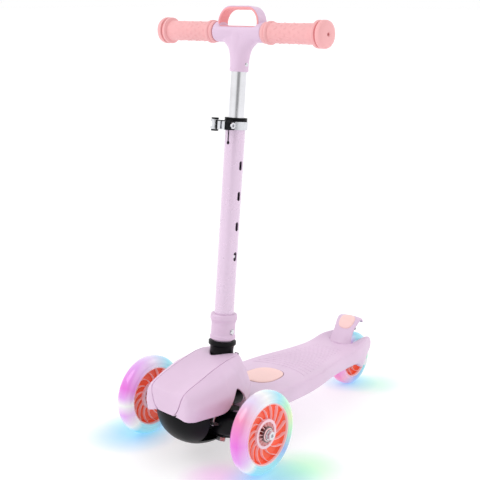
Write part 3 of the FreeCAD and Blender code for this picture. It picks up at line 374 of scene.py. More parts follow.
def dressed(item, material, body, nodes, crisp=35):
    """Gives a piece its finish, its smooth shading, its body and the nodes that it stands for."""
    item.data.materials.clear()
    item.data.materials.append(material)
    item.data.shade_smooth()
    item.data.set_sharp_from_angle(angle=math.radians(crisp))
    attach(item, body)
    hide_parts(*nodes)
    print(f"{item.name}: {len(item.data.polygons)} faces on {body}")
    return item


# %% [markdown]
# ## Wheels
# Each wheel is a wide clear tyre on a coral core. The core is a thin dished disc between a
# pale hub and a pale rim, stiffened by thin ribs that curve like a fan. A tyre and a disc are
# spun round the axle. One rib is a short curved wall; spin with duplicates repeats it, and a
# mirror puts the same fan on the inner face.

# %% Tyres
X_AXIS = Vector((1, 0, 0))
# Each wheel's middle, then its tyre's radius, its core's radius, its half width and its ribs.
WHEELS = {"right": (axle, 60, 44, 13, 15), "left": (middle("wheel_left_tyre"), 60, 44, 13, 15),
          "rear": (rear_axle_place, 45, 31, 14, 11)}


def tyre(name, centre, radius, core, half, lamps, body):
    """A rounded tyre with a raised bead beside the core and a fine groove in each shoulder."""
    outer_half = [(0, radius), (half * 0.36, radius - 0.4), (half * 0.60, radius - 1.6),
                  (half * 0.80, radius - 4.0), (half * 0.94, radius - 7.5), (half, radius - 11.0),
                  (half - 0.7, radius - 11.8), (half - 0.1, radius - 12.6), (half - 0.6, core + 1.2),
                  (half - 1.6, core)]
    inner_half = [(-along, reach) for along, reach in reversed(outer_half[1:])]
    profile = outer_half + inner_half + [(0, radius)]
    piece = as_object(name, spun(profile, centre, X_AXIS, 112))
    return dressed(piece, glowing(name + "_glow", centre, lamps), body, [name.replace("clear", "tyre")],
                   60)


for wheel, (centre, radius, core, half, _) in WHEELS.items():
    tyre(f"wheel_{wheel}_clear", centre, radius, core, half, LAMPS[wheel], f"{wheel}_wheel")


# %% Cores and their fans of ribs
def core_disc(name, centre, core, half, body):
    """The coral disc, dished between its hub and its rim."""
    face = [(4.5, 12), (3.2, 16), (3.0, core - 10), (4.5, core - 4), (half - 3.5, core - 1.4)]
    profile = face + [(-along, radius) for along, radius in reversed(face)] + [face[0]]
    return dressed(as_object(name, spun(profile, centre, X_AXIS)), coral_plastic, body,
                   [name.replace("disc", "core")])


RIB_SWEEP, RIB_HALF, RIB_FOOT, RIB_STEPS, HUB_EDGE = 0.62, 0.42, 2.6, 6, 9.5


def rib_rows(centre, core, half):
    """The sections of one rib, which bends more and more towards the rim and dips half way."""
    rows = []
    for step in range(RIB_STEPS + 1):
        share = step / RIB_STEPS
        angle = RIB_SWEEP * share ** 1.6
        radius = HUB_EDGE + (core - 1.6 - HUB_EDGE) * share
        height = half - 6.2 + 3.6 * abs(2 * share - 1) ** 2
        across = Vector((0, -math.sin(angle), math.cos(angle))) * RIB_HALF * MM
        out = centre + Vector((0, math.cos(angle), math.sin(angle))) * radius * MM
        low, high = X_AXIS * RIB_FOOT * MM, X_AXIS * height * MM
        rows.append([out - across * 1.3 + low, out - across * 0.7 + high, out + across * 0.7 + high,
                     out + across * 1.3 + low])
    return rows


def rib_fan(name, centre, core, half, count, body):
    """Rim, hub and curved ribs in the paler plastic, the same on both faces of the wheel."""
    fan = bmesh.new()
    one = bridged(rib_rows(centre, core, half), closed=True)
    bmesh.ops.holes_fill(one, edges=one.edges)
    bmesh.ops.spin(one, geom=one.verts[:] + one.edges[:] + one.faces[:], cent=centre, axis=X_AXIS,
                   angle=math.tau, steps=count, use_duplicate=True)
    bmesh.ops.translate(one, vec=-centre, verts=one.verts)
    bmesh.ops.mirror(one, geom=one.verts[:] + one.edges[:] + one.faces[:], merge_dist=-1, axis="X")
    bmesh.ops.translate(one, vec=centre, verts=one.verts)
    keeper = bpy.data.meshes.new("ribs")
    one.to_mesh(keeper)
    one.free()
    fan.from_mesh(keeper)
    rim = [(half - 1.6, core), (half - 1.2, core - 0.6), (half - 1.8, core - 1.5),
           (half - 3.6, core - 2.0)]
    rim += [(-along, radius) for along, radius in reversed(rim)] + [rim[0]]
    hub = [(half - 1.0, 7.6), (half - 0.6, 8.3), (half - 1.2, 9.3), (half - 5.5, 10.6),
           (half - 6.0, 7.6)]
    hub += [(-along, radius) for along, radius in reversed(hub)] + [hub[0]]
    for profile in (rim, hub):
        band = spun(profile, centre, X_AXIS)
        band.to_mesh(keeper)
        band.free()
        fan.from_mesh(keeper)
    return dressed(as_object(name, fan), rib_plastic, body, [name.replace("ribs", "core")])


for wheel, (centre, _, core, half, ribs) in WHEELS.items():
    core_disc(f"wheel_{wheel}_disc", centre, core, half, f"{wheel}_wheel")
    rib_fan(f"wheel_{wheel}_ribs", centre, core, half, ribs, f"{wheel}_wheel")

# %% [markdown]
# ## Bonnet
# The bonnet is one moulded shell: a flat middle panel between two fine seams, soft lobes on
# both sides, an arch over each axle arm and a notch at the rear for the stem. Only one half
# is drawn, as cross sections from the middle out to the lip. They are bridged, mirrored,
# subdivided and then thickened, so a few sections give one smooth form. The inside of the wall
# is black, as painted shade, and a black box behind the arches is painted shade too.

# %% The bonnet's cross sections
# Each row: place behind the axle, roof height, then the seam, shoulder, widest point and lip as (x, z).
BONNET_ROWS = [
    (-76.5, 84, (17, 84), (20, 83.8), (22, 83.2), (22.5, 82.5)),
    (-76.3, 93, (23, 93), (28, 91.5), (30, 87), (29.5, 80.5)),
    (-75.6, 106, (27.5, 106.5), (34.5, 102), (37, 90), (35, 79)),
    (-72.5, 113, (30.5, 115.5), (39.5, 109), (42.5, 92), (39.5, 78)),
    (-64, 117.5, (31.5, 121), (43.5, 114), (48.5, 94), (44.5, 77)),
    (-50, 121.5, (32, 125.5), (46.5, 118.5), (53.5, 97), (47.5, 77.5)),
    (-30, 128.5, (32, 131.5), (48.5, 125), (59.5, 99), (54, 78)),
    (-14, 133.5, (31.5, 136), (49, 129), (63.5, 100), (58.5, 79)),
    (4, 139, (31, 140), (47.5, 131), (66, 100), (63, 80)),
    (20, 143, (31, 143), (46, 133), (63, 103), (61, 84)),
    (34, 144.5, (30, 144), (43, 134), (58, 105), (57, 88)),
    (47, 144, (28.5, 142), (38, 132), (51, 106), (50, 92))]
NOSE, TAIL = BONNET_ROWS[0][0], BONNET_ROWS[-1][0]
ARCH_MIDDLE, ARCH_HALF, ARCH_TOP = 6.0, 20.0, 113.0
NOTCH_APEX, NOTCH_END, NOTCH_HALF = 17.0, 47.0, 26.0
# The seam sinks into the top, and in front of the fold it sinks into the nose. It fades at the rear.
SEAM_TOP_DEPTH, SEAM_NOSE_DEPTH, FOLD, FOLD_LENGTH, FADE, FADE_LENGTH = 2.6, 2.4, -71, 4, 41, 6
SIDE_STEPS = 7


def blended(first, second, share):
    """Blends two section rows, numbers and pairs alike."""
    if isinstance(first, tuple):
        return tuple(blended(one, other, share) for one, other in zip(first, second))
    return first + (second - first) * share


def bonnet_row(place):
    """The section at a place along the bonnet."""
    for before, after in zip(BONNET_ROWS, BONNET_ROWS[1:]):
        if place <= after[0]:
            return blended(before, after, (place - before[0]) / (after[0] - before[0]))
    return BONNET_ROWS[-1]


def bonnet_section(place):
    """Points from the middle over the seam and the lobe to the lip, or to the arch's edge."""
    _, roof, seam, shoulder, wide, lip = bonnet_row(place)
    lean = min(max((FOLD - place) / FOLD_LENGTH, 0), 1)
    sunk = SEAM_TOP_DEPTH * (1 - lean) * min(max((FADE - place) / FADE_LENGTH, 0.1), 1)
    start = 0.0
    if place > NOTCH_APEX:
        start = NOTCH_HALF * ((place - NOTCH_APEX) / (NOTCH_END - NOTCH_APEX)) ** 0.8
    groove = [(-1.1, 0), (-0.45, -0.1), (-0.2, -sunk), (0.4, -sunk), (0.65, -0.3), (1.6, -0.4)]
    points = [(start, roof), (start + (seam[0] - start) * 0.55, roof + (seam[1] - roof) * 0.35)]
    points += [(seam[0] + across, seam[1] + up) for across, up in groove]
    off = abs(place - ARCH_MIDDLE) / ARCH_HALF
    foot = lip[1]
    if off < 1:
        foot = max(foot, foot + (ARCH_TOP - foot) * (1 - off ** 1.3))
    side = [points[-1], shoulder, wide, lip]
    for step in range(1, SIDE_STEPS + 1):
        height = side[0][1] + (foot - side[0][1]) * (step / SIDE_STEPS) ** 0.9
        for (x1, z1), (x2, z2) in zip(side, side[1:]):
            if z2 <= height <= z1:
                points.append((x1 + (x2 - x1) * (z1 - height) / max(z1 - z2, 1e-6), height))
                break
        else:
            points.append((lip[0], height))
    depths = [0] * len(points)
    depths[4] = depths[5] = SEAM_NOSE_DEPTH * lean
    return [at(x, place + depth, z) for (x, z), depth in zip(points, depths)]


# %% The bonnet's shell and its box of painted shade
WALL = 2.4 * MM


def edges_at(mesh, place):
    """The open edges of a mesh that lie at a place along the scooter."""
    level = at(0, place, 0).y
    return [edge for edge in mesh.edges
            if edge.is_boundary and all(abs(vert.co.y - level) < 1e-5 for vert in edge.verts)]


def boxed(low, high):
    """A plain box between two corners."""
    mesh = bmesh.new()
    bmesh.ops.create_cube(mesh, size=1)
    bmesh.ops.scale(mesh, vec=at(*high) - at(*low), verts=mesh.verts)
    bmesh.ops.translate(mesh, vec=(at(*low) + at(*high)) / 2, verts=mesh.verts)
    return mesh


bonnet_places = [NOSE, -76.3, -76, -75.6, -74.5, -72.5, -69, -64, -57, -46, -32, -20, -12.6, -10.5,
                 -6, 0, 7, 14, NOTCH_APEX, 20, 24.5, 26.6, 34, 41, TAIL]
bonnet_mesh = bridged([bonnet_section(place) for place in bonnet_places])
rear_rim = [at(max(point.x / MM - 12, 20), TAIL + 2.5, point.z / MM) for point in bonnet_section(TAIL)]
bmesh.ops.bridge_loops(bonnet_mesh, edges=edges_at(bonnet_mesh, TAIL) + chain(bonnet_mesh, rear_rim))
bmesh.ops.mirror(bonnet_mesh, geom=bonnet_mesh.verts[:] + bonnet_mesh.edges[:] + bonnet_mesh.faces[:],
                 merge_dist=0.00005, axis="X")
bmesh.ops.contextual_create(bonnet_mesh, geom=edges_at(bonnet_mesh, NOSE))
bonnet = as_object("bonnet_shell", bonnet_mesh)
modifier(bonnet, "SUBSURF", levels=2, render_levels=2)
modifier(bonnet, "SOLIDIFY", thickness=WALL, offset=-1, material_offset=1)
dressed(bonnet, lilac_plastic, "frame", ["bonnet"], 50)
# The inner face of the wall takes black: painted shade inside the shell.
bonnet.data.materials.append(black_plastic)
# A black box behind the arches: painted shade where one looks into the bonnet.
shade_box = boxed((-50, -20.5, 78), (50, 36.5, 112))
bmesh.ops.bevel(shade_box, geom=shade_box.edges[:], offset=9 * MM, segments=4, profile=0.5, affect="EDGES")
dressed(as_object("bonnet_shade_box", shade_box), black_plastic, "frame", ["bonnet"])

# %% [markdown]
# ## Black underbody
# Under the bonnet hangs a black tub, and a broad fairing reaches from it to each wheel. The tub
# is the lower half of a stretched ball, opened at the sides. Each fairing rides on its
# knuckle, because it turns with the wheel when the rider leans.

# %% Tub
TUB_HALVES, TUB_RIM = (58, 64.5, 55), 79
tub = bmesh.new()
bmesh.ops.create_uvsphere(tub, u_segments=64, v_segments=40, radius=1)
bmesh.ops.scale(tub, vec=Vector(TUB_HALVES) * MM, verts=tub.verts)
bmesh.ops.translate(tub, vec=at(0, -8, 76), verts=tub.verts)
bmesh.ops.bisect_plane(tub, geom=tub.verts[:] + tub.edges[:] + tub.faces[:], plane_co=at(0, 0, TUB_RIM),
                       plane_no=(0, 0, 1), clear_outer=True)
tub = as_object("underbody_tub", tub)
modifier(tub, "SOLIDIFY", thickness=WALL, offset=-1)
settled(tub)
ways = {"right_way": ((20, -40, 37), (90, 33, 120)), "left_way": ((-90, -40, 37), (-20, 33, 120)),
        "deck_way": ((-90, 31, 34), (90, 80, 120))}
carved(tub, [as_object(name, boxed(low, high)) for name, (low, high) in ways.items()])
dressed(tub, black_plastic, "frame", ["belly_pan"], 40)


# %% Arm fairings
# Each section: distance from the middle, front and rear edge, underside and top.
ARM_SECTIONS = [(28, -14, 7, 46, 72), (33, -20, 8, 43, 74), (44, -23, 11, 42, 75), (58, -22, 16, 43, 75),
                (72, -19, 19, 45, 75), (86, -17, 17, 47, 73), (93, -12, 12, 51, 69)]


def squared(value, power):
    """Keeps the sign of a sine or cosine and pushes it outwards, which squares an oval."""
    return math.copysign(abs(value) ** power, value)


def fairing(side, sign):
    """A rounded arm, deep beside the tub and slimmer at the wheel."""
    rows = []
    for x, front_y, rear_y, low, high in ARM_SECTIONS:
        ring = []
        for step in range(12):
            angle = math.tau * step / 12
            y = (front_y + rear_y) / 2 + (rear_y - front_y) / 2 * squared(math.cos(angle), 0.6)
            z = (low + high) / 2 + (high - low) / 2 * squared(math.sin(angle), 0.6)
            ring.append(at(sign * x, y, z))
        rows.append(ring)
    mesh = bridged(rows, closed=True)
    bmesh.ops.holes_fill(mesh, edges=mesh.edges)
    piece = as_object(f"arm_fairing_{side}", mesh)
    modifier(piece, "SUBSURF", levels=2, render_levels=2)
    return dressed(piece, black_plastic, f"{side}_knuckle", [f"knuckle_{side}"])


for side, sign in SIDES.items():
    fairing(side, sign)

# %% [markdown]
# ## Deck
# The deck is a shallow moulded platform, widest behind the stem and drawn in towards the rear,
# where two raised cheeks hold the rear wheel. Its sections are bridged and subdivided into a
# solid. The wheel slot and the rest for the soft pad are cut out of it with booleans, which
# keeps their edges crisp.

# %% Deck platform
# Half width against the place behind the front axle.
DECK_OUTLINE = [(33, 41), (50, 48), (75, 59), (100, 65.5), (135, 67), (170, 66.5), (200, 63.5),
                (228, 58), (255, 52), (285, 48), (315, 46.5), (335, 45), (346, 43), (356, 40.5),
                (366, 37.5), (376, 34), (387, 30), (397, 26)]
DECK_TOP, DECK_UNDER = 79, 50
CHEEK_START, CHEEK_HEIGHT = 318, 8.5
SLOT_START, SLOT_ROUND, SLOT_HALF = 332.5, 36, 23.5
PAD_MIDDLE, PAD_SOFT, PAD_REST = 136, (27.8, 31.6), (29.2, 33.0)


def superoval(half_x, half_y, power=2.5, steps=64):
    """Points round an oval that is a little squarer than an ellipse."""
    points = []
    for step in range(steps):
        angle = math.tau * step / steps
        points.append((half_x * squared(math.cos(angle), 2 / power),
                       half_y * squared(math.sin(angle), 2 / power)))
    return points


def on_deck(x, y, lift):
    """A point over the deck's top, from the pad's middle; the pad narrows a little to the rear."""
    return at(x * (1 - 0.05 * y / 33), PAD_MIDDLE + y, DECK_TOP + lift)


def cheek_rise(y):
    """How far the rear cheeks stand above the deck's flat top."""
    if y < CHEEK_START:
        return 0.0
    climb = math.sin(min((y - CHEEK_START) / 42, 1) * math.pi / 2)
    return CHEEK_HEIGHT * climb * (1 - max((y - 376) / 24, 0) ** 2 * 2.6)


def deck_section(y, half):
    """Half of a closed section, from the middle of the top round the edge to the underside."""
    rise, tail = cheek_rise(y), max((y - 372) / 26, 0)
    under = DECK_UNDER - 17 * math.exp(-((y - 366) / 16) ** 2) + 14 * tail ** 1.5
    top = DECK_TOP + rise
    inner = min(rise / CHEEK_HEIGHT, 1)
    points = [(0, DECK_TOP), (half * 0.45, DECK_TOP + rise * 0.3),
              (half * 0.80, DECK_TOP + rise * (0.6 + 0.3 * inner)), (half - 5.0, top),
              (half - 1.6, top - 0.6), (half - 0.2, top - 3.4), (half - 0.8, 66 - 4 * tail),
              (half - 4.2, (under + 58) / 2), (half - 7.6, under + 1.4), (half - 10.5, under),
              (half * 0.5, under + 0.6), (0, under + 0.6)]
    return [at(x, y, z) for x, z in points]


deck_mesh = bridged([deck_section(y, half) for y, half in DECK_OUTLINE])
bmesh.ops.mirror(deck_mesh, geom=deck_mesh.verts[:] + deck_mesh.edges[:] + deck_mesh.faces[:],
                 merge_dist=0.00005, axis="X")
bmesh.ops.holes_fill(deck_mesh, edges=deck_mesh.edges)
deck = as_object("deck_platform", deck_mesh)
modifier(deck, "SUBSURF", levels=3, render_levels=3)
settled(deck)
slot_angles = [math.radians(degrees) for degrees in range(-40, 41, 8)]
slot_points = [at(SLOT_ROUND * math.sin(angle), SLOT_START + SLOT_ROUND - SLOT_ROUND * math.cos(angle), 20)
               for angle in slot_angles]
slot_points += [at(SLOT_HALF, 430, 20), at(-SLOT_HALF, 430, 20)]
slot_cutter = as_object("slot_cutter", slab_of(slot_points, Vector((0, 0, 0.12))))
pad_rim = slab_of([on_deck(x, y, -1.0) for x, y in superoval(*PAD_REST)], Vector((0, 0, 0.02)))
carved(deck, [slot_cutter, as_object("pad_cutter", pad_rim)])
dressed(deck, lilac_plastic, "frame", ["deck_shell"], 30)

# %% [markdown]
# Fine raised arcs on the deck stop a shoe from slipping. Each arc is a tiny rounded section that
# spin sweeps round one centre, so they all run parallel, and each stops short of the edge.

# %% Grip arcs
def deck_half(y):
    """The deck's half width at a place behind the front axle."""
    for (before, wide), (after, narrow) in zip(DECK_OUTLINE, DECK_OUTLINE[1:]):
        if y <= after:
            return wide + (narrow - wide) * (y - before) / (after - before)
    return DECK_OUTLINE[-1][1]


arcs = bmesh.new()
ARC_CENTRE, ARC_COUNT, ARC_FIRST, ARC_PITCH = 92.0, 15, 96, 8.5
for index in range(ARC_COUNT):
    radius = ARC_FIRST + ARC_PITCH * index
    reach = math.asin(min((deck_half(ARC_CENTRE + radius * 0.94) - 14 - 0.6 * index) / radius, 0.9))
    half_round = [at(-0.65, ARC_CENTRE + radius, 78.9), at(-0.35, ARC_CENTRE + radius, 79.42),
                  at(0.35, ARC_CENTRE + radius, 79.42), at(0.65, ARC_CENTRE + radius, 78.9)]
    half_round = [Vector((0, point.y + point.x, point.z)) for point in half_round]
    edges = chain(arcs, half_round, closed=True)
    verts = list({vert for edge in edges for vert in edge.verts})
    bmesh.ops.rotate(arcs, verts=verts, cent=at(0, ARC_CENTRE, 0), matrix=Matrix.Rotation(-reach, 3, "Z"))
    bmesh.ops.spin(arcs, geom=verts + edges, cent=at(0, ARC_CENTRE, 0), axis=(0, 0, 1), angle=2 * reach,
                   steps=28)
bmesh.ops.holes_fill(arcs, edges=arcs.edges)
dressed(as_object("deck_grip_arcs", arcs), lilac_plastic, "frame", ["deck_shell"])


# %% [markdown]
# ## Pads
# Both soft pads are thin and softly domed. Rings of points are bridged from the rim inwards,
# and a fan of faces closes the middle. The same helper lays them flat on the deck or along the
# curve of the brake.

# %% Pads on the deck and on the brake
def pad(name, surface, half_x, half_y, height, material, body, nodes, slot):
    """A domed oval pad: surface(x, y, lift) gives the point over a place on it."""
    levels = ((1.0, -0.6), (1.0, 0.2), (0.985, height * 0.6), (0.95, height * 0.9), (0.75, height),
              (0.45, height))
    rows = []
    for share, lift in levels:
        rows.append([surface(x * share, y * share, lift) for x, y in superoval(half_x, half_y)])
    mesh = bridged(rows, closed=True)
    mesh.verts.ensure_lookup_table()
    first, last = set(mesh.verts[:len(rows[0])]), set(mesh.verts[-len(rows[-1]):])
    foot = [edge for edge in mesh.edges if first.issuperset(edge.verts)]
    crown = [edge for edge in mesh.edges if last.issuperset(edge.verts)]
    peak = mesh.verts.new(surface(0, 0, height))
    for edge in crown:
        mesh.faces.new((*edge.verts, peak))
    bmesh.ops.contextual_create(mesh, geom=foot)
    return dressed(as_object(name, mesh), material, body, nodes, 40)


pad("deck_pad_soft", on_deck, *PAD_SOFT, 1.1, peach_rubber, "frame", ["deck_pad"], "peach_rubber")
# The recess floor round the pad is a thin sheet in the darker lilac: painted shade in the gap between pad and
# deck.
groove = slab_of([on_deck(x, y, -1.3) for x, y in superoval(*PAD_REST)], Vector((0, 0, 0.0004)))
dressed(as_object("deck_pad_groove", groove), recess_shade, "frame", ["deck_pad"])

# %% Brake: a curved tongue with a round head
# Along the brake: place behind the axle, height and half width.
BRAKE_LINE = [(331.6, 80.0, 22.0), (335.8, 85, 21.2), (341, 92, 20), (348, 100, 19), (353.5, 107.5, 19.6),
              (359, 113.8, 21.2), (364.5, 118.2, 21.8), (370, 119.6, 21.2), (375.5, 117.8, 19.6),
              (381, 113.4, 17.4), (384.5, 109, 15.4)]


def brake_point(share):
    """Place, height and half width at a share of the way along the brake."""
    spot = share * (len(BRAKE_LINE) - 1)
    index = min(max(int(spot), 0), len(BRAKE_LINE) - 2)
    pairs = zip(BRAKE_LINE[index], BRAKE_LINE[index + 1])
    return tuple(blended(one, other, spot - index) for one, other in pairs)


def on_brake(across, along, lift):
    """A point over the brake: across in x, along from the foot, and lift off its surface."""
    y, z, _ = brake_point(along)
    y2, z2, _ = brake_point(along + 0.02)
    slope = Vector((0, y2 - y, z2 - z)).normalized()
    up = Vector((0, -slope.z, slope.y))
    bow, swept = across ** 2 / 190, (across ** 2 / 72) * max(0.35 - along, 0) / 0.35
    return at(across, y + swept, z - bow) + up * lift * MM


BRAKE_ACROSS, BRAKE_STEPS = (-1, -0.93, -0.6, -0.2, 0.2, 0.6, 0.93, 1), 20
brake_rows = []
for step in range(BRAKE_STEPS + 1):
    share = step / BRAKE_STEPS
    half = brake_point(share)[2]
    brake_rows.append([on_brake(half * across, share, 0) for across in BRAKE_ACROSS])
brake = as_object("brake_tongue", bridged(brake_rows))
if brake.data.polygons[0].normal.z < 0:
    brake.data.flip_normals()
modifier(brake, "SOLIDIFY", thickness=2.6 * MM, offset=-1)
modifier(brake, "BEVEL", width=0.9 * MM, segments=3, limit_method="ANGLE", angle_limit=math.radians(50))
dressed(brake, lilac_plastic, "brake", ["brake_fender"], 45)


def on_brake_pad(x, y, lift):
    """A point over the brake's head, measured from the soft pad's middle."""
    return on_brake(x, 0.50 + y / 75, lift)


pad("brake_pad_soft", on_brake_pad, 14.2, 13.5, 1.2, peach_rubber, "brake", ["brake_pad"], "peach_rubber")

# %% [markdown]
# ## T-bar
# The lilac T flows from the stem sleeve into the two arms with soft hollows. It is easiest to
# join two turned forms and one bridged flare, remesh them into one even skin and smooth that
# skin, which rounds every inner corner at once, as a moulding tool would.

# %% The T's body
sleeve_profile = [(-54.5, 0), (-54.5, 12.9), (-53.6, 13.5), (-51.5, 13.5), (-50.4, 13.1),
                  (-36, 13.4), (-24, 14.4), (-12, 15.2), (0, 14.5), (0, 0)]
arm_profile = [(-43.5, 0), (-43.5, 13.6), (-43.0, 14.1), (-20, 14.1), (20, 14.1), (43.0, 14.1),
               (43.5, 13.6), (43.5, 0)]
# The flare under the arms: height, half width and half depth.
FLARE = [(-42, 13.2, 13.2), (-36, 13.9, 13.6), (-30, 15.2, 13.9), (-25, 17.2, 14.1), (-20.5, 20.3, 14.2),
         (-16.5, 25.0, 14.1), (-13, 31.0, 13.9), (-9, 37.0, 13.4), (-3, 41.0, 12.6), (2, 41.0, 12.0)]
flare_rows = [[on_bar(wide * math.cos(math.tau * step / 40), deep * math.sin(math.tau * step / 40), z)
               for step in range(40)] for z, wide, deep in FLARE]
flare = bridged(flare_rows, closed=True)
bmesh.ops.holes_fill(flare, edges=flare.edges)
t_parts = [as_object("t_sleeve", spun(sleeve_profile, bar_place, stem_axis, 64)),
           as_object("t_arms", spun(arm_profile, bar_place, X_AXIS, 64)), as_object("t_flare", flare)]
t_body = carved(t_parts[0], t_parts[1:], "UNION")
finger_corners = [on_bar(x, -20, z) for x, z in ((-33, 7), (33, 7), (33, 40), (-33, 40))]
hollow_top = as_object("finger_floor", slab_of(finger_corners, on_bar(0, 40, 0) - on_bar(0, 0, 0)))
carved(t_body, [hollow_top])
modifier(t_body, "REMESH", mode="VOXEL", voxel_size=1.0 * MM)
modifier(t_body, "SMOOTH", factor=0.5, iterations=14)
settled(t_body)
t_body.name = "t_bar_skin"
dressed(t_body, lilac_plastic, "t_bar", ["t_bar_body"], 60)


# %% Carry loop
def loop_line(grow, foot):
    """The loop's line, from the right foot over the top to the left foot."""
    right = [(16 + (17.5 + grow) * math.cos(math.radians(degrees)),
              12 + (19 + grow) * math.sin(math.radians(degrees))) for degrees in range(0, 91, 9)]
    half = [(right[0][0], foot)] + right
    return half + [(-x, z) for x, z in reversed(half)]


def loop_band(name, inner, outer, depth, foot, material, nodes):
    """A band between two lines of the loop, drawn out along the scooter and rounded."""
    points = loop_line(outer, foot) + list(reversed(loop_line(inner, foot)))
    through = on_bar(0, depth, 0) - on_bar(0, 0, 0)
    piece = as_object(name, slab_of([on_bar(x, -depth / 2, z) for x, z in points], through))
    modifier(piece, "BEVEL", width=0.9 * MM, segments=3, limit_method="ANGLE", angle_limit=math.radians(50))
    return dressed(piece, material, "t_bar", nodes, 40)


loop_band("carry_loop_shell", 2.2, 4.4, 16.4, 6, lilac_plastic, ["t_bar_body"])
loop_band("carry_loop_liner", 0.0, 2.8, 18.4, 7.1, coral_liner, ["loop_liner"])
strip = slab_of([on_bar(x, -9.2, z) for x, z in ((-33.6, 6.6), (33.6, 6.6), (33.6, 8.1), (-33.6, 8.1))],
                on_bar(0, 18.4, 0) - on_bar(0, 0, 0))
dressed(as_object("carry_loop_floor", strip), coral_liner, "t_bar", ["loop_liner"])


# %% [markdown]
# ## Grips
# Each rubber grip is one turning: an inner flange, a barrel, two rings with a groove between
# them and a domed end with a small hole. Little leaf shaped scales on the barrel give hold.

# %% Grips with their scales
SCALE_ROWS, SCALES_ROUND, SCALE_START, SCALE_PITCH = 9, 9, 61, 7.9


def grip(side, sign):
    """One rubber grip, turned about the bar, with rows of scales on its barrel."""
    out = X_AXIS * sign
    profile = [(44, 9.6), (44, 14.3), (44.6, 14.9), (49.2, 14.9), (49.8, 14.2), (50.4, 15.4), (51.2, 16.1),
               (54.6, 16.1), (55.6, 15.2), (56.4, 13.9), (70, 13.6), (100, 13.7), (128, 14.1),
               (131.4, 14.4), (132, 17.6), (132.8, 18.5), (135.8, 18.6), (136.8, 17.8), (137.1, 14.6),
               (139.2, 14.6), (139.6, 17.9), (140, 18.7), (144.4, 18.7), (146.6, 17.8), (148.0, 15.4),
               (148.8, 11.5), (149, 6), (149, 3.2), (148.4, 2.5), (139.5, 2.5), (139.5, 0)]
    mesh = spun(profile, bar_place, out, 72)
    scales = bmesh.new()
    for row in range(SCALE_ROWS):
        for step in range(SCALES_ROUND):
            angle = math.tau * (step + 0.5 * (row % 2)) / SCALES_ROUND
            made = bmesh.ops.create_icosphere(scales, subdivisions=2, radius=1)["verts"]
            bmesh.ops.scale(scales, vec=(3.4 * MM, 1.8 * MM, 0.8 * MM), verts=made)
            tilt = Matrix.Rotation(math.radians(32 if row % 2 else -32), 3, "Z")
            bmesh.ops.rotate(scales, verts=made, cent=(0, 0, 0), matrix=tilt)
            bmesh.ops.translate(scales, vec=(0, 0, 13.5 * MM), verts=made)
            bmesh.ops.rotate(scales, verts=made, cent=(0, 0, 0), matrix=Matrix.Rotation(angle, 3, "X"))
            bmesh.ops.translate(scales, vec=bar_place + out * (SCALE_START + SCALE_PITCH * row) * MM,
                                verts=made)
    keeper = bpy.data.meshes.new("scales")
    scales.to_mesh(keeper)
    scales.free()
    mesh.from_mesh(keeper)
    piece = as_object(f"grip_{side}_rubber", mesh)
    return dressed(piece, pink_rubber, "t_bar", [f"grip_{side}"], 45)


for side, sign in SIDES.items():
    grip(side, sign)

# %% [markdown]
# ## Finishes on the turned parts
# The tubes, clamp, collar, buttons, bolts and hidden mechanism keep the shapes of the packed
# model. Each one takes the finish of its own material slot, and the bearings and the spacers
# in the front hubs a darker metal.

# %% Finishes on the nodes that stay
bearing_dark = metal("bearing_dark", (0.20, 0.19, 0.20), 0.3, (0.3, 1, 1))
SLOT_FINISH = {
    "lilac_plastic": lilac_plastic, "lilac_paint": lilac_paint, "pink_rubber": pink_rubber,
    "coral_liner": coral_liner, "peach_rubber": peach_rubber, "coral_plastic": coral_plastic,
    "light_ring": ring_frost, "black_plastic": black_plastic, "black_rubber": black_rubber,
    "chrome_tube": chrome, "silver_alloy": satin_alloy, "bright_steel": bright_steel,
    "zinc_steel": zinc_steel, "spring_steel": spring_steel}
kept = 0
for row in frame["record"]["subparts"]:
    node = NODES[row["node"]]
    if node.hide_render:
        continue
    for holder in node.material_slots:
        holder.material = SLOT_FINISH[row["material_slot"]]
        if row["node"].endswith(("bearings", "spacers_right", "spacers_left")):
            holder.material = bearing_dark
    kept += 1
print(kept, "nodes keep their own shape")

# %% [markdown]
# ## Floor, light and camera
# A pale floor and a bright sky give the soft studio look. One darker band in the sky draws a
# grey line down the chrome. Two large lamps shape the forms, one from the upper left in front
# and one from behind. Soft coloured patches on the floor stand for the light that the wheels
# throw. The camera stands in front, to the right, a little above.

# %% Floor
floor_mesh = bmesh.new()
bmesh.ops.create_grid(floor_mesh, x_segments=1, y_segments=1, size=60)
floor = as_object("floor", floor_mesh)
floor_finish = moulded("floor_pale", (0.60, 0.60, 0.605), 0.6, 0.01, grain=40, depth=0.00002,
                       Specular_IOR_Level=0.2, Emission_Color=(1, 1, 1, 1), Emission_Strength=0.8)
floor.data.materials.append(floor_finish)
# The wheels' lamps pool on the floor: place behind the axle, radius and tint.
POOLS = [((-126, -30), 76, (0.30, 0.66, 1.0)), ((-142, 20), 66, (0.55, 1.0, 0.92)),
         ((76, -50), 62, (1.0, 0.60, 0.95)), ((136, -8), 74, (0.30, 0.70, 1.0)),
         ((148, 50), 70, (0.55, 1.0, 0.62)), ((40, 388), 56, (0.66, 1.0, 0.84)),
         ((0, 366), 52, (0.5, 0.76, 1.0))]


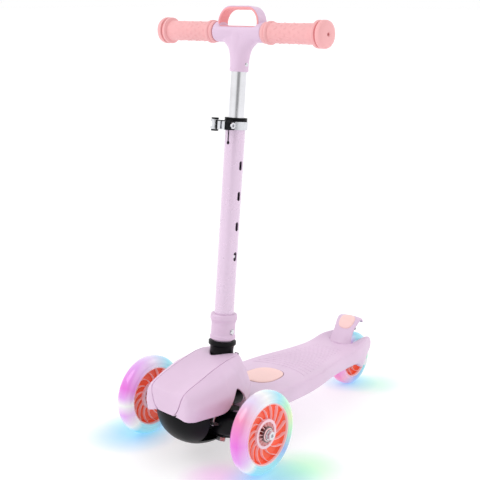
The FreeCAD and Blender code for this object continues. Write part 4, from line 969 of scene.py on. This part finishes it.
def pooled(made):
    """Tints the floor's colour and its glow with one soft round patch for each pool."""
    nodes, links = made.node_tree.nodes, made.node_tree.links
    shader = nodes["Principled BSDF"]
    place = nodes.new("ShaderNodeTexCoord")
    so_far = shader.inputs["Base Color"].links[0].from_socket
    kinds = ("Mapping", "TexGradient", "Math", "Mix")
    for (x, y), radius, tint in POOLS:
        spot, ball, soft, mix = (nodes.new("ShaderNode" + kind) for kind in kinds)
        spot.vector_type = "TEXTURE"
        spot.inputs["Location"].default_value = at(x, y, 0)
        spot.inputs["Scale"].default_value = (radius * MM, radius * MM, radius * MM)
        ball.gradient_type = "SPHERICAL"
        soft.operation = "SMOOTH_MIN"
        soft.inputs[1].default_value = 0.8
        soft.inputs[2].default_value = 0.5
        mix.data_type, mix.blend_type = "RGBA", "MULTIPLY"
        links.new(place.outputs["Object"], spot.inputs["Vector"])
        links.new(spot.outputs["Vector"], ball.inputs["Vector"])
        links.new(ball.outputs["Fac"], soft.inputs[0])
        plugs = {plug.name: plug for plug in mix.inputs if plug.enabled}
        links.new(soft.outputs["Value"], plugs["Factor"])
        links.new(so_far, plugs["A"])
        plugs["B"].default_value = (*tint, 1)
        so_far = next(plug for plug in mix.outputs if plug.enabled)
    links.new(so_far, shader.inputs["Base Color"])
    links.new(so_far, shader.inputs["Emission Color"])


pooled(floor_finish)

# %% Light
world = bpy.data.worlds.new("soft_sky")
bpy.context.scene.world = world
world.use_nodes = True
sky_nodes, sky_links = world.node_tree.nodes, world.node_tree.links
sky_kinds = ("TexCoord", "TexGradient", "ValToRGB")
direction, round_sky, sky_ramp = (sky_nodes.new("ShaderNode" + kind) for kind in sky_kinds)
round_sky.gradient_type = "RADIAL"
sky_links.new(direction.outputs["Generated"], round_sky.inputs["Vector"])
sky_links.new(round_sky.outputs["Fac"], sky_ramp.inputs["Fac"])
# Brightness against the direction round the sky; the dip is the darker band.
SKY = [(0.0, 1.0), (0.20, 1.12), (0.29, 1.0), (0.33, 0.42), (0.40, 0.38), (0.45, 1.0),
       (0.53, 1.12), (0.62, 1.0)]
while len(sky_ramp.color_ramp.elements) < len(SKY):
    sky_ramp.color_ramp.elements.new(0.5)
for element, (where, level) in zip(sky_ramp.color_ramp.elements, SKY):
    element.position = where
    element.color = (level, level, level, 1)
sky_links.new(sky_ramp.outputs["Color"], sky_nodes["Background"].inputs["Color"])
sky_nodes["Background"].inputs["Strength"].default_value = 1.0


def lamp(name, place, aim, power, size):
    """A square area lamp at a place, turned towards a point."""
    data = bpy.data.lights.new(name, "AREA")
    data.energy = power
    data.size = size
    item = bpy.data.objects.new(name, data)
    bpy.context.scene.collection.objects.link(item)
    item.location = place
    item.rotation_euler = (aim - place).to_track_quat("-Z", "Y").to_euler()
    return item


lamp("key", Vector((-1.1, -1.6, 2.2)), at(0, 80, 250), 14, 1.6)
lamp("rim", Vector((1.4, 1.6, 1.8)), at(0, 120, 250), 5, 1.4)

# %% Camera
camera_data = bpy.data.cameras.new("camera")
camera_data.lens = 77.38
camera_data.sensor_width = 36
camera = bpy.data.objects.new("camera", camera_data)
bpy.context.scene.collection.objects.link(camera)
camera.location = at(949.1, -1023.7, 640.0)
camera.rotation_euler = Euler((math.radians(76.91), 0, math.radians(40.66)))
bpy.context.scene.camera = camera
bpy.context.scene.view_settings.view_transform = "Standard"
